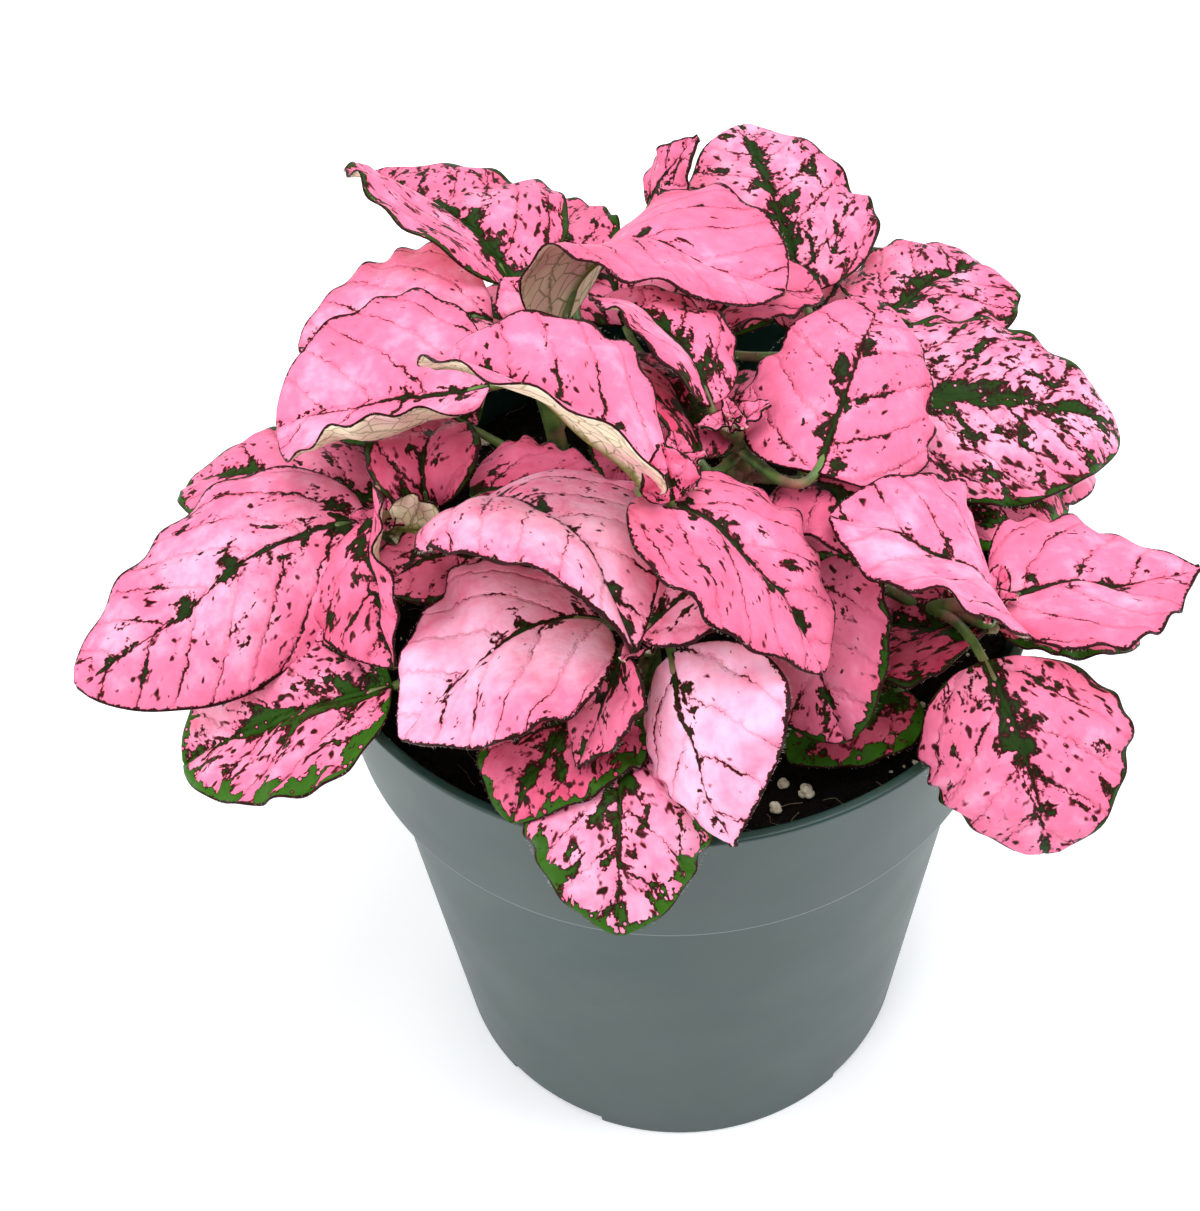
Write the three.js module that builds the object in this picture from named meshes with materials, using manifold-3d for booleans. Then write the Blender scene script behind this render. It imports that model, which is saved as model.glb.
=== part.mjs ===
// A potted polka dot plant (Hypoestes phyllostachya): a round nursery pot filled with
// peaty soil, and eight leafy stems whose leaves arch out over the rim.
// Millimetres, +Z up. The origin is the middle of the pot's underside, and the photographed
// front of the plant faces -Y.
import * as THREE from "three";
import { mergeVertices } from "three/addons/utils/BufferGeometryUtils.js";
import Module from "manifold-3d";

const wasm = await Module();
wasm.setup();

// Pot
const POT_HEIGHT = 108.8;
const RIM_RADIUS = 54;
const BAND_HEIGHT = 27.2;
const BAND_FOOT_RADIUS = 50.8;
const BODY_TOP_RADIUS = 47.8;
const BASE_RADIUS = 40.2;
const WALL = 1.6;
const FLOOR = 3;
const EDGE_ROUND = 0.6;
const POT_SIDES = 48;
const NOTCHES = 4;
const NOTCH_WIDTH = 19;
const NOTCH_DEPTH = 9;
const NOTCH_RISE = 2;
const NOTCH_OVERHANG = 2;
const FIRST_NOTCH = -127.5;

// Soil
const SOIL_TOP = 97;
const SOIL_GAP = 0.3;
const SOIL_SIDES = 48;
const SOIL_RINGS = 8;
const SOIL_BUMP = 1.1;
const SOIL_SHOULDER = 0.99;
const HOLE_GAP = 0.35;
const STEM_DEPTH = 12;

// Stems and leaf stalks
const STEM_RADIUS = 2;
const CROWN_RADIUS = 1.1;
const STEM_SIDES = 7;
const STEM_STEPS = 5;
const STEM_LEAN = 0.4;
const STALK_RADIUS = 0.85;
const STALK_TIP_RADIUS = 0.6;
const STALK_SIDES = 4;
const STALK_STEPS = 3;
const STALK_DROP = 7;
const STALK_CLEARANCE = 4;
const STALK_SUNK = 0.1;
const STALK_REACH = 0.35;
const STALK_HANDLE = 0.4;
const CROWN_CLEARANCE = 2;
const LOWEST_SHARE = 0.4;
const SHARE_STEP = 0.02;

// Leaf blades
const BLADE_THICKNESS = 0.8;
const WIDEST_AT = 0.4;
const BASE_POWER = 0.62;
const END_WIDTH = 0.7;
const WAVE_HEIGHT = 0.6;
const WAVES = 2.5;
const RIGHT_PHASE = 2.1;
const MIDRIB_HANDLE = 0.3;
const LEAST_CURL = 1e-4;

// A blade's grid: narrow leaves have fewer cells, and strongly rolled ones more
const NARROW_LEAF = 14;
const BROAD_LEAF = 28;
const STRONG_CURL = 60;

// Perlite: x, y and length of each grain that lies on the soil
const GRAIN_GAP = 0.3;
const GRAIN_WIDTH = 0.85;
const GRAIN_HEIGHT = 0.75;
const PERLITE = [
  [11.8, -41.2, 2.4],
  [13.4, -37.4, 2.3],
  [16.2, -39.4, 3.1],
  [21.2, -33.8, 2.4],
  [36, -33, 2],
  [-38, -24, 2.4],
  [-28, 36, 2.7],
  [40, 14, 2.3],
];

// Each leafy stem: where it enters the soil, where its growing tip is, and its leaves.
// A leaf row: base, tip, width, roll, [rise of the midrib at one third and two thirds],
// [fold, curl] of the left half and of the right half, twist, and the power of its tip, which
// is smaller where the tip is blunter. Lengths are millimetres and angles are degrees.
// Seen from above, looking from base to tip: roll tips the face to the left, a positive
// fold lifts a half, and curl bends it on towards its margin.
const STEMS = {
  stem_left: {
    foot: [-24, -4],
    crown: [-40, -5, 121],
    leaves: [
      [[-43, -2, 120], [-84, -24, 114], 35, -20, [7, -1], [-22, -55], [22, -20], -15, 0.55],
      [[-41, 8, 112], [-74, 20, 107], 30, -5, [4, 6], [10, -25], [5, -35], 5, 0.6],
      [[-41, -6, 125], [-39, -29, 119], 26, -40, [3, 1], [35, 10], [10, -20], 5, 0.8],
      [[-40, -27, 113], [-71, -29, 101], 30, 10, [2, 2], [20, -15], [20, -20], 5, 0.6],
      [[-34, -4, 124], [-32, 10, 127], 17, 10, [7, 2], [15, -20], [10, -20], 0, 0.6],
      [[-29, -12, 129], [-7, -45, 138], 33, 20, [9, 11], [15, -35], [25, -75], 30, 0.8],
      [[-28, -4, 125], [-9, -5, 126], 28, 5, [3, 1], [5, -35], [10, -25], 5, 0.6],
      [[-40, -6, 122], [-31, -12, 127], 10, 110, [1, 1], [10, 0], [10, 0], 0, 0.8],
      [[-36, -4, 113], [-63, -6, 107], 22, 5, [4, 3], [5, -20], [5, -20], 0, 0.6],
      [[-28, -10, 122], [-42, -18, 123], 15, 0, [1, 1], [0, -20], [0, -20], 0, 0.6],
    ],
  },
  stem_front: {
    foot: [-4, -16],
    crown: [-5, -36, 128],
    leaves: [
      [[-11, -28, 125], [-38, -41, 119], 34, -10, [8, 2], [10, -25], [10, -20], 0, 0.75],
      [[-10, -32, 114], [-24, -50, 111], 25, -20, [2, 4], [0, -20], [15, -30], 0, 0.6],
      [[-8, -37, 129], [-15, -47, 118], 18, -25, [0, 0], [20, -15], [0, -35], -10, 0.8],
      [[-2, -38, 129], [4, -60, 117], 29, -30, [4, 4], [10, -20], [-30, -40], -5, 1],
      [[-6, -38, 133], [8, -31, 130], 15, 0, [4, 7], [5, -20], [15, -20], 0, 0.6],
      [[-9, -42, 115], [-11, -63, 103], 26, 0, [5, 5], [0, -45], [0, -30], -5, 0.6],
    ],
  },
  stem_centre: {
    foot: [2, 0],
    crown: [1, -20, 143],
    leaves: [
      [[-4, -23, 143], [17, -42, 128], 33, 15, [6, 4], [5, -35], [20, -25], 0, 0.75],
      [[-3, -26, 146], [-30, -6, 152], 32, 10, [6, 8], [60, 5], [0, -25], 35, 0.7],
      [[-1, -27, 146], [-2, -24, 153], 8, 0, [1, 1], [10, -25], [10, -25], 0, 0.9],
    ],
  },
  stem_back_left: {
    foot: [-14, 16],
    crown: [-19, 18, 131],
    leaves: [
      [[-24, 4, 139], [-55, 7, 131], 37, 10, [0, 2], [0, 90], [15, -20], 15, 0.6],
      [[-14, 26, 130], [18, 15, 143], 38, 30, [16, 3], [20, 0], [0, 0], -30, 0.6],
      [[-21, 36, 130], [-43, 67, 130], 36, -15, [6, 0], [30, -10], [20, -30], -10, 0.6],
      [[-24, 28, 130], [-53, 25, 130], 36, 5, [6, -2], [10, -25], [10, -35], -5, 0.6],
      [[-17, 26, 129], [-22, 33, 134], 11, 0, [2, 2], [10, -25], [5, -30], 0, 0.8],
      [[-12, 42, 124], [-20, 68, 119], 24, 0, [4, 4], [10, -25], [10, -25], 0, 0.6],
      [[-28, 22, 114], [-56, 35, 109], 24, 0, [5, 5], [10, -25], [10, -25], 0, 0.6],
    ],
  },
  stem_middle: {
    foot: [12, 4],
    crown: [9, -6, 137],
    leaves: [
      [[19, -16, 138], [32, 16, 139], 31, -5, [0, 5], [-5, -40], [-10, -50], -10, 0.6],
      [[6, -4, 140], [-8, 16, 143], 21, -15, [5, 4], [25, 0], [10, -30], 15, 0.6],
      [[4, -10, 136], [-6, 15, 134], 20, -30, [4, 3], [20, -25], [10, -25], 10, 0.6],
      [[8, -4, 130], [13, 18, 126], 13, 10, [3, 1], [0, -30], [5, -25], 5, 0.6],
      [[17, 8, 128], [22, 20, 128], 9, 0, [2, 2], [5, -30], [10, -25], 0, 0.8],
      [[18, -8, 129], [26, -24, 129], 18, 0, [4, 4], [10, -25], [10, -25], 0, 0.6],
      [[18, 2, 112], [36, -6, 108], 20, 0, [4, 3], [10, -20], [10, -20], 0, 0.6],
    ],
  },
  stem_right: {
    foot: [30, -14],
    crown: [42, -27, 121],
    leaves: [
      [[43, -26, 121], [71, -23, 122], 32, 0, [4, -3], [10, -45], [15, 10], 20, 0.95],
      [[39.5, -36, 121], [46, -54, 102], 30, -10, [5, 7], [5, -20], [5, -80], -20, 0.55],
      [[42, -30, 123], [20, -22, 136], 31, 0, [7, 2], [20, 10], [-5, -5], 35, 0.75],
      [[18, -18, 120], [21, -41, 112], 26, -30, [3, 5], [20, -10], [0, -45], 15, 0.6],
      [[42, -27, 117], [24, -18, 106], 27, 0, [1, 2], [15, -20], [15, -20], 10, 0.6],
      [[32, -24, 101], [14, -37, 103], 18, 0, [2, 2], [5, -20], [10, -25], 5, 0.6],
      [[44, -18, 111], [65, -23, 107], 18, 0, [4, 4], [5, -20], [5, -20], 0, 0.6],
    ],
  },
  stem_back_right: {
    foot: [22, 18],
    crown: [32, 24, 127],
    leaves: [
      [[23, 32, 128], [17, 69, 133], 32, 0, [4, 2], [0, -45], [0, -25], -5, 0.6],
      [[34, 28, 127], [55, 47, 117], 28, 0, [-1, 6], [5, -30], [5, -30], -10, 0.5],
      [[32, 10, 128], [68, 10, 116], 35, -10, [0, 6], [0, -20], [0, -20], 10, 0.6],
      [[40, 6, 113], [60, 3, 109], 28, -10, [5, 6], [15, -15], [5, -30], 0, 0.6],
      [[41, 13, 111], [66, 11, 106], 25, -10, [4, 4], [5, -15], [10, -10], 0, 0.6],
      [[8, 23, 131], [25, 26, 133], 20, 0, [4, 2], [15, -20], [20, 0], -5, 0.6],
      [[37, 28, 109], [58, 46, 103], 24, 0, [5, 5], [10, -25], [10, -25], 0, 0.6],
    ],
  },
  stem_back: {
    foot: [2, 30],
    crown: [2, 36, 118],
    leaves: [
      [[-16, 38, 110], [-33, 61, 105], 24, 0, [5, 5], [10, -25], [10, -25], 0, 0.6],
      [[-4, 38, 119], [-9, 68, 112], 25, 0, [5, 5], [10, -25], [10, -25], 0, 0.6],
      [[10, 38, 115], [15, 66, 107], 26, 0, [5, 5], [10, -25], [10, -25], 0, 0.6],
      [[2, 26, 112], [-8, 10, 112], 18, 0, [3, 3], [10, -20], [10, -20], 0, 0.6],
      [[24, 34, 117], [38, 58, 109], 26, 0, [5, 5], [10, -25], [10, -25], 0, 0.6],
      [[1, 55, 129], [9, 54, 142], 10, -30, [1, 1], [0, -20], [0, -20], 0, 0.9],
    ],
  },
};

// Looks, one for each material
const POT_LOOK = { color: 0x5f716b, roughness: 0.5, metalness: 0 };
const SOIL_LOOK = { color: 0x1d1612, roughness: 0.95, metalness: 0 };
const LEAF_LOOK = { color: 0xf08fb6, roughness: 0.55, metalness: 0 };
const PERLITE_LOOK = { color: 0xe8e0cf, roughness: 0.9, metalness: 0 };

const WELD = 1e-4;
const radians = THREE.MathUtils.degToRad;
const vector = (list) => new THREE.Vector3(...list);

// A closed three.js geometry as a solid that can be joined and cut.
function solid(geometry) {
  const bare = geometry.clone();
  for (const name of Object.keys(bare.attributes)) {
    if (name !== "position") {
      bare.deleteAttribute(name);
    }
  }
  const merged = mergeVertices(bare, WELD);
  return new wasm.Manifold(
    new wasm.Mesh({
      numProp: 3,
      vertProperties: merged.attributes.position.array,
      triVerts: new Uint32Array(merged.index.array),
    }),
  );
}

// A solid back as a three.js geometry.
function geometryOf(body) {
  const mesh = body.getMesh();
  const geometry = new THREE.BufferGeometry();
  geometry.setAttribute("position", new THREE.BufferAttribute(mesh.vertProperties, 3));
  geometry.setIndex(new THREE.BufferAttribute(mesh.triVerts, 1));
  geometry.computeVertexNormals();
  return geometry;
}

// A profile of [radius, height] points turned round the Z axis.
function turned(profile, sides) {
  const points = profile.map(([r, z]) => new THREE.Vector2(r, z));
  return new THREE.LatheGeometry(points, sides).rotateX(Math.PI / 2);
}

// The pot is a tapered cup with a wider band at its top, and notches round its foot.
function makePot() {
  const bandFoot = POT_HEIGHT - BAND_HEIGHT;
  const profile = [
    [0, 0],
    [BASE_RADIUS - EDGE_ROUND, 0],
    [BASE_RADIUS, EDGE_ROUND],
    [BODY_TOP_RADIUS, bandFoot],
    [BAND_FOOT_RADIUS - EDGE_ROUND, bandFoot],
    [BAND_FOOT_RADIUS, bandFoot + EDGE_ROUND],
    [RIM_RADIUS, POT_HEIGHT - EDGE_ROUND],
    [RIM_RADIUS - EDGE_ROUND, POT_HEIGHT],
    [RIM_RADIUS - WALL, POT_HEIGHT],
    [BAND_FOOT_RADIUS - WALL, bandFoot + WALL],
    [BODY_TOP_RADIUS - WALL, bandFoot],
    [BASE_RADIUS - WALL, FLOOR],
    [0, FLOOR],
  ];
  let pot = solid(turned(profile, POT_SIDES));
  for (let i = 0; i < NOTCHES; i++) {
    const angle = radians(FIRST_NOTCH + (i * 360) / NOTCHES);
    const notch = new THREE.BoxGeometry(NOTCH_DEPTH, NOTCH_WIDTH, NOTCH_RISE * 2);
    notch.translate(BASE_RADIUS - NOTCH_DEPTH / 2 + NOTCH_OVERHANG, 0, 0).rotateZ(angle);
    pot = pot.subtract(solid(notch));
  }
  return pot;
}

// How far the soil stands above its mean height at a point.
function soilRise(x, y) {
  return SOIL_BUMP * Math.sin(0.17 * x + 1.3) * Math.cos(0.21 * y - 0.6);
}

// The soil fills the pot up to its uneven top, with a plain hole for each stem.
function makeSoil(stems) {
  const bandFoot = POT_HEIGHT - BAND_HEIGHT;
  const gap = WALL + SOIL_GAP;
  const share = (SOIL_TOP - bandFoot - WALL) / (POT_HEIGHT - bandFoot - WALL);
  const topRadius = THREE.MathUtils.lerp(BAND_FOOT_RADIUS, RIM_RADIUS, share) - gap;
  const profile = [
    [0, FLOOR + SOIL_GAP],
    [BASE_RADIUS - gap, FLOOR + SOIL_GAP],
    [BODY_TOP_RADIUS - gap, bandFoot],
    [BAND_FOOT_RADIUS - gap, bandFoot + WALL + SOIL_GAP],
    [topRadius, SOIL_TOP - SOIL_BUMP],
  ];
  for (let i = 1; i <= SOIL_RINGS; i++) {
    profile.push([topRadius * SOIL_SHOULDER * (1 - i / SOIL_RINGS), SOIL_TOP]);
  }
  const geometry = turned(profile, SOIL_SIDES);
  const p = geometry.attributes.position;
  for (let i = 0; i < p.count; i++) {
    if (p.getZ(i) > SOIL_TOP - SOIL_BUMP / 2) {
      p.setZ(i, SOIL_TOP + soilRise(p.getX(i), p.getY(i)));
    }
  }
  let soil = solid(geometry);
  for (const stem of stems) {
    soil = soil.subtract(solid(stem));
  }
  return soil;
}

// A round rod bent along a curve, with its radius running from one end to the other.
function rod(curve, startRadius, endRadius, sides, steps) {
  const geometry = new THREE.CylinderGeometry(endRadius, startRadius, 1, sides, steps);
  const p = geometry.attributes.position;
  const side = new THREE.Vector3();
  const up = new THREE.Vector3();
  for (let i = 0; i < p.count; i++) {
    const share = THREE.MathUtils.clamp(p.getY(i) + 0.5, 0, 1);
    const centre = curve.getPoint(share);
    const along = curve.getTangent(share);
    side.set(1, 0, 0).cross(along).normalize();
    up.crossVectors(along, side);
    centre.addScaledVector(side, p.getZ(i)).addScaledVector(up, p.getX(i));
    p.setXYZ(i, centre.x, centre.y, centre.z);
  }
  return geometry;
}

// The frame that a leaf is laid out in: chord, upward normal and left side.
function leafFrame([base, tip, , roll]) {
  const start = vector(base);
  const end = vector(tip);
  const chord = end.clone().sub(start);
  const length = chord.length();
  chord.divideScalar(length);
  const normal = new THREE.Vector3(0, 0, 1).addScaledVector(chord, -chord.z).normalize();
  normal.applyAxisAngle(chord, -radians(roll));
  const left = new THREE.Vector3().crossVectors(normal, chord);
  return { start, end, chord, length, normal, left };
}

// The midrib runs from base to tip and rises above the chord on the way.
function midrib(leaf) {
  const { start, end, chord, length, normal } = leafFrame(leaf);
  const [first, second] = leaf[4];
  const a = start.clone().addScaledVector(chord, MIDRIB_HANDLE * length);
  const b = end.clone().addScaledVector(chord, -MIDRIB_HANDLE * length);
  a.addScaledVector(normal, (4 / 3) * first);
  b.addScaledVector(normal, (4 / 3) * second);
  return new THREE.CubicBezierCurve3(start, a, b, end);
}

// Half the blade's width at a share of its length: egg-shaped, with a drawn-out tip.
function halfWidth(share, width, tipPower) {
  const power = Math.log(0.5) / Math.log(WIDEST_AT);
  const swell = Math.max(Math.sin(Math.PI * share ** power), 0);
  const shape = swell ** (share < WIDEST_AT ? BASE_POWER : tipPower);
  return Math.max((width / 2) * shape, END_WIDTH);
}

// A point of the blade and its normal: share runs from base to tip, across from -1 at the
// right margin to 1 at the left one.
function bladePoint(leaf, curve, left, share, across) {
  const [, , width, , , leftHalf, rightHalf, twist, tipPower] = leaf;
  const along = curve.getTangent(share);
  let normal = new THREE.Vector3().crossVectors(along, left).normalize();
  let side = new THREE.Vector3().crossVectors(normal, along);
  const turn = radians(twist) * (share - 0.5);
  const turnedNormal = normal.clone().multiplyScalar(Math.cos(turn));
  turnedNormal.addScaledVector(side, Math.sin(turn));
  side.multiplyScalar(Math.cos(turn)).addScaledVector(normal, -Math.sin(turn));
  normal = turnedNormal;
  const [fold, curl] = (across >= 0 ? leftHalf : rightHalf).map(radians);
  const reach = Math.abs(across) * halfWidth(share, width, tipPower);
  const bend = (curl || LEAST_CURL) / (width / 2);
  const sideways = (Math.sin(fold + bend * reach) - Math.sin(fold)) / bend;
  const phase = across >= 0 ? 0 : RIGHT_PHASE;
  const wave = Math.sin(2 * Math.PI * WAVES * share + phase) * Math.sin(Math.PI * share);
  const lift =
    (Math.cos(fold) - Math.cos(fold + bend * reach)) / bend + WAVE_HEIGHT * across ** 2 * wave;
  const point = curve.getPoint(share).addScaledVector(side, Math.sign(across) * sideways);
  return point.addScaledVector(normal, lift);
}

// How many cells a blade has across and along.
function bladeCells([, , width, , , [, leftCurl], [, rightCurl]]) {
  if (width < NARROW_LEAF) {
    return [2, 4];
  }
  const curl = Math.max(Math.abs(leftCurl), Math.abs(rightCurl));
  return [curl > STRONG_CURL ? 6 : 4, width < BROAD_LEAF ? 5 : 6];
}

// The grid's vertices round its border, in order.
function borderOf(across, steps) {
  const row = across + 1;
  const top = Array.from({ length: across }, (_, i) => i);
  const right = Array.from({ length: steps }, (_, j) => j * row + across);
  const bottom = top.map((i) => steps * row + across - i);
  const left = Array.from({ length: steps }, (_, j) => (steps - j) * row);
  return [...top, ...right, ...bottom, ...left];
}

// A leaf blade: one grid for the upper face, the same grid below it, split alike, and a
// strip round the margin.
function blade(leaf) {
  const [across, steps] = bladeCells(leaf);
  const curve = midrib(leaf);
  const { left } = leafFrame(leaf);
  const grid = new THREE.PlaneGeometry(2, 1, across, steps);
  const g = grid.attributes.position;
  const face = grid.index.array;
  const count = g.count;
  const middle = [];
  for (let i = 0; i < count; i++) {
    const share = THREE.MathUtils.clamp(g.getY(i) + 0.5, 0, 1);
    middle.push(bladePoint(leaf, curve, left, share, g.getX(i)));
  }
  const shape = new THREE.BufferGeometry().setFromPoints(middle);
  shape.setIndex([...face]);
  shape.computeVertexNormals();
  const n = shape.attributes.normal;
  const points = [];
  for (const half of [BLADE_THICKNESS / 2, -BLADE_THICKNESS / 2]) {
    for (let i = 0; i < count; i++) {
      const normal = new THREE.Vector3().fromBufferAttribute(n, i);
      points.push(middle[i].clone().addScaledVector(normal, half));
    }
  }
  const index = [...face];
  for (let i = 0; i < face.length; i += 3) {
    index.push(face[i] + count, face[i + 2] + count, face[i + 1] + count);
  }
  const border = borderOf(across, steps);
  border.forEach((a, i) => {
    const b = border[(i + 1) % border.length];
    index.push(a, b, a + count, b, b + count, a + count);
  });
  const made = new THREE.BufferGeometry().setFromPoints(points);
  made.setIndex(index);
  return made;
}

// A stem rises straight out of the soil and then leans towards its crown.
function stemCurve({ foot, crown }) {
  const top = vector(crown);
  const bendHeight = THREE.MathUtils.lerp(crown[2], SOIL_TOP, STEM_LEAN);
  const start = new THREE.Vector3(foot[0], foot[1], SOIL_TOP - STEM_DEPTH);
  const bend = new THREE.Vector3(foot[0], foot[1], bendHeight);
  return new THREE.QuadraticBezierCurve3(start, bend, top);
}

// A leaf's stalk leaves its stem a little below the blade's base and runs on into the midrib.
function stalkCurve(stem, leaf) {
  const curve = stemCurve(stem);
  const base = vector(leaf[0]);
  const lowest = SOIL_TOP + STALK_CLEARANCE;
  const highest = stem.crown[2] - CROWN_CLEARANCE;
  const wanted = THREE.MathUtils.clamp(base.z - STALK_DROP, lowest, highest);
  let share = 1;
  while (share > LOWEST_SHARE && curve.getPoint(share).z > wanted) {
    share -= SHARE_STEP;
  }
  const start = curve.getPoint(share);
  const run = midrib(leaf);
  const inside = run.getPoint(STALK_SUNK);
  const reach = STALK_REACH * base.distanceTo(start);
  const before = base.clone().addScaledVector(run.getTangent(0), -reach);
  before.z = Math.max(before.z, Math.min(start.z, base.z));
  return new THREE.CubicBezierCurve3(start, before.clone().lerp(start, STALK_HANDLE), before, inside);
}

// A leafy stem: its rod with every stalk and blade fused to it.
function makeStem(stem) {
  let body = solid(rod(stemCurve(stem), STEM_RADIUS, CROWN_RADIUS, STEM_SIDES, STEM_STEPS));
  for (const leaf of stem.leaves) {
    const curve = stalkCurve(stem, leaf);
    const stalk = rod(curve, STALK_RADIUS, STALK_TIP_RADIUS, STALK_SIDES, STALK_STEPS);
    body = body.add(solid(stalk)).add(solid(blade(leaf)));
  }
  return body;
}

// A grain lowered until its nearest corner is just clear of the soil.
function makeGrain([x, y, size], soilMesh) {
  const grain = new THREE.IcosahedronGeometry(size / 2, 0).scale(1, GRAIN_WIDTH, GRAIN_HEIGHT);
  grain.rotateZ(x).translate(x, y, POT_HEIGHT);
  const down = new THREE.Vector3(0, 0, -1);
  const corner = new THREE.Vector3();
  let room = POT_HEIGHT;
  for (let i = 0; i < grain.attributes.position.count; i++) {
    corner.fromBufferAttribute(grain.attributes.position, i);
    const hit = new THREE.Raycaster(corner, down).intersectObject(soilMesh)[0];
    room = Math.min(room, hit.distance);
  }
  return solid(grain.translate(0, 0, GRAIN_GAP - room));
}

const plant = new THREE.Group();

function place(name, body, look) {
  const mesh = new THREE.Mesh(geometryOf(body), new THREE.MeshStandardMaterial(look));
  mesh.name = name;
  plant.add(mesh);
  return mesh;
}

const holes = Object.values(STEMS).map((stem) => {
  const radius = STEM_RADIUS + HOLE_GAP;
  return rod(stemCurve(stem), radius, radius, STEM_SIDES, STEM_STEPS);
});
place("pot", makePot(), POT_LOOK);
const soilMesh = place("soil", makeSoil(holes), SOIL_LOOK);
for (const [name, stem] of Object.entries(STEMS)) {
  place(name, makeStem(stem), LEAF_LOOK);
}
PERLITE.forEach((grain, i) => {
  place("perlite_" + (i + 1), makeGrain(grain, soilMesh), PERLITE_LOOK);
});

export default plant;
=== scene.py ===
# %% [markdown]
# # A potted polka dot plant
# The plant stands in a round nursery pot of peaty soil: eight leafy stems, each with broad
# pink leaves that are splashed with dark green along their veins. The plain solids of the
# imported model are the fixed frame. They give every size and place, and this lesson dresses
# them: a smooth turned pot, crumbly soil, round stalks and leaves with real relief.

# %% Load the fixed frame
import math
from collections import namedtuple

import bmesh
import bpy
import numpy as np
from mathutils import Matrix, Vector


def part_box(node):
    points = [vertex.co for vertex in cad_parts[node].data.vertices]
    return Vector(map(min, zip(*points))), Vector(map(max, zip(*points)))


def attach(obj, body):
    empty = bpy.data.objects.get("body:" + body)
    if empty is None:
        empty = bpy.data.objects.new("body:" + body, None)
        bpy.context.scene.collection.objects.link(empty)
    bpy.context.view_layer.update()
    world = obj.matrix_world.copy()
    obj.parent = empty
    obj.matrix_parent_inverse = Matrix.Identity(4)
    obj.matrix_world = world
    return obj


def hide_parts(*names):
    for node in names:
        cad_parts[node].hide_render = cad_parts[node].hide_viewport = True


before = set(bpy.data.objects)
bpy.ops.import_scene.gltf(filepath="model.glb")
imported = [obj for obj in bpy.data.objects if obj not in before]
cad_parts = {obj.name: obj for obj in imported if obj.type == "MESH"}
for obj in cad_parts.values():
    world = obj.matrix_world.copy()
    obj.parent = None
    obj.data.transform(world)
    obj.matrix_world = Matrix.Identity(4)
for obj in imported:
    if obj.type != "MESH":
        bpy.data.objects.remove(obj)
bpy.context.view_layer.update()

MM = 0.001
BODY = "root"

# %% [markdown]
# ## Camera
# The photograph looks down on the plant at about 49 degrees from close by. The camera could be
# moved by eye until the picture fits, but an aim point, a distance and an angle of view can be
# measured from the pot's outline, so these place it. Its slight roll levels the pot's rim.

# %% Camera
PHOTO_SIZE = (1200, 1211)
FOCAL_PIXELS = 2000
SENSOR = 36
NEAREST = 0.01
AIM = Vector((-10.76, 0, 96.16)) * MM
DISTANCE = 306.24 * MM
ELEVATION = 0.849
ROLL = -0.065


def in_scene(name, data):
    """A new object that holds this data, linked to the scene."""
    made = bpy.data.objects.new(name, data)
    bpy.context.scene.collection.objects.link(made)
    return made


forward = Vector((0, math.cos(ELEVATION), -math.sin(ELEVATION)))
level_up = Vector((0, math.sin(ELEVATION), math.cos(ELEVATION)))
level_right = Vector((1, 0, 0))
right = level_right * math.cos(ROLL) + level_up * math.sin(ROLL)
up = level_up * math.cos(ROLL) - level_right * math.sin(ROLL)
turn = Matrix((right, up, -forward)).transposed().to_4x4()

camera_data = bpy.data.cameras.new("camera")
camera_data.sensor_width = SENSOR
camera_data.lens = SENSOR * FOCAL_PIXELS / max(PHOTO_SIZE)
camera_data.clip_start = NEAREST
camera = in_scene("camera", camera_data)
camera.matrix_world = Matrix.Translation(AIM - forward * DISTANCE) @ turn
bpy.context.scene.camera = camera
print("camera:", round(camera_data.lens, 2), "mm lens at", tuple(round(c, 3) for c in camera.location))


# %% [markdown]
# ## Helpers
# A few short functions do what every step needs: they make a mesh and keep numbers on its
# vertices, add nodes whose inputs are set or joined by name, and make a material. The node
# editor could be used by hand instead, but a script can be read, repeated and changed.


# %% Helpers for meshes
def mesh_object(name, points, faces=(), edges=()):
    """A new object at the origin whose mesh holds these points, in metres."""
    mesh = bpy.data.meshes.new(name)
    mesh.from_pydata([tuple(p) for p in points], list(edges), list(faces))
    mesh.validate()
    return in_scene(name, mesh)


def keep(mesh, name, values, kind="FLOAT_VECTOR", field="vector"):
    """Stores one value for each vertex under a name that a node tree can read."""
    layer = mesh.attributes.new(name, kind, "POINT")
    layer.data.foreach_set(field, np.asarray(values, dtype=np.float32).ravel())


def smooth(obj):
    obj.data.polygons.foreach_set("use_smooth", [True] * len(obj.data.polygons))
    obj.data.update()


def face_outwards(obj):
    """Turns every face of a closed mesh outwards."""
    work = bmesh.new()
    work.from_mesh(obj.data)
    bmesh.ops.recalc_face_normals(work, faces=work.faces)
    work.to_mesh(obj.data)
    work.free()


def discard(obj):
    bpy.data.objects.remove(obj, do_unlink=True)


def fit(obj, material, slot, *nodes):
    """Gives a finished piece its material and ties it to the frame."""
    obj.data.materials.clear()
    obj.data.materials.append(material)
    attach(obj, BODY)
    if nodes:
        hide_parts(*nodes)


# %% Helpers for node trees
def add(tree, kind, inputs=None, **settings):
    """A new node with its settings, and with each input set to a value or joined to a socket."""
    made = tree.nodes.new(kind)
    for name, value in settings.items():
        setattr(made, name, value)
    for name, value in (inputs or {}).items():
        if isinstance(value, bpy.types.NodeSocket):
            tree.links.new(value, made.inputs[name])
        else:
            made.inputs[name].default_value = value
    return made


def calc(tree, operation, *values):
    """The result of one Math node."""
    return add(tree, "ShaderNodeMath", dict(enumerate(values)), operation=operation).outputs[0]


def weigh(tree, start, *parts):
    """The start plus each part times its weight."""
    result = start
    for value, weight in parts:
        result = calc(tree, "MULTIPLY_ADD", value, weight, result)
    return result


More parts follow.
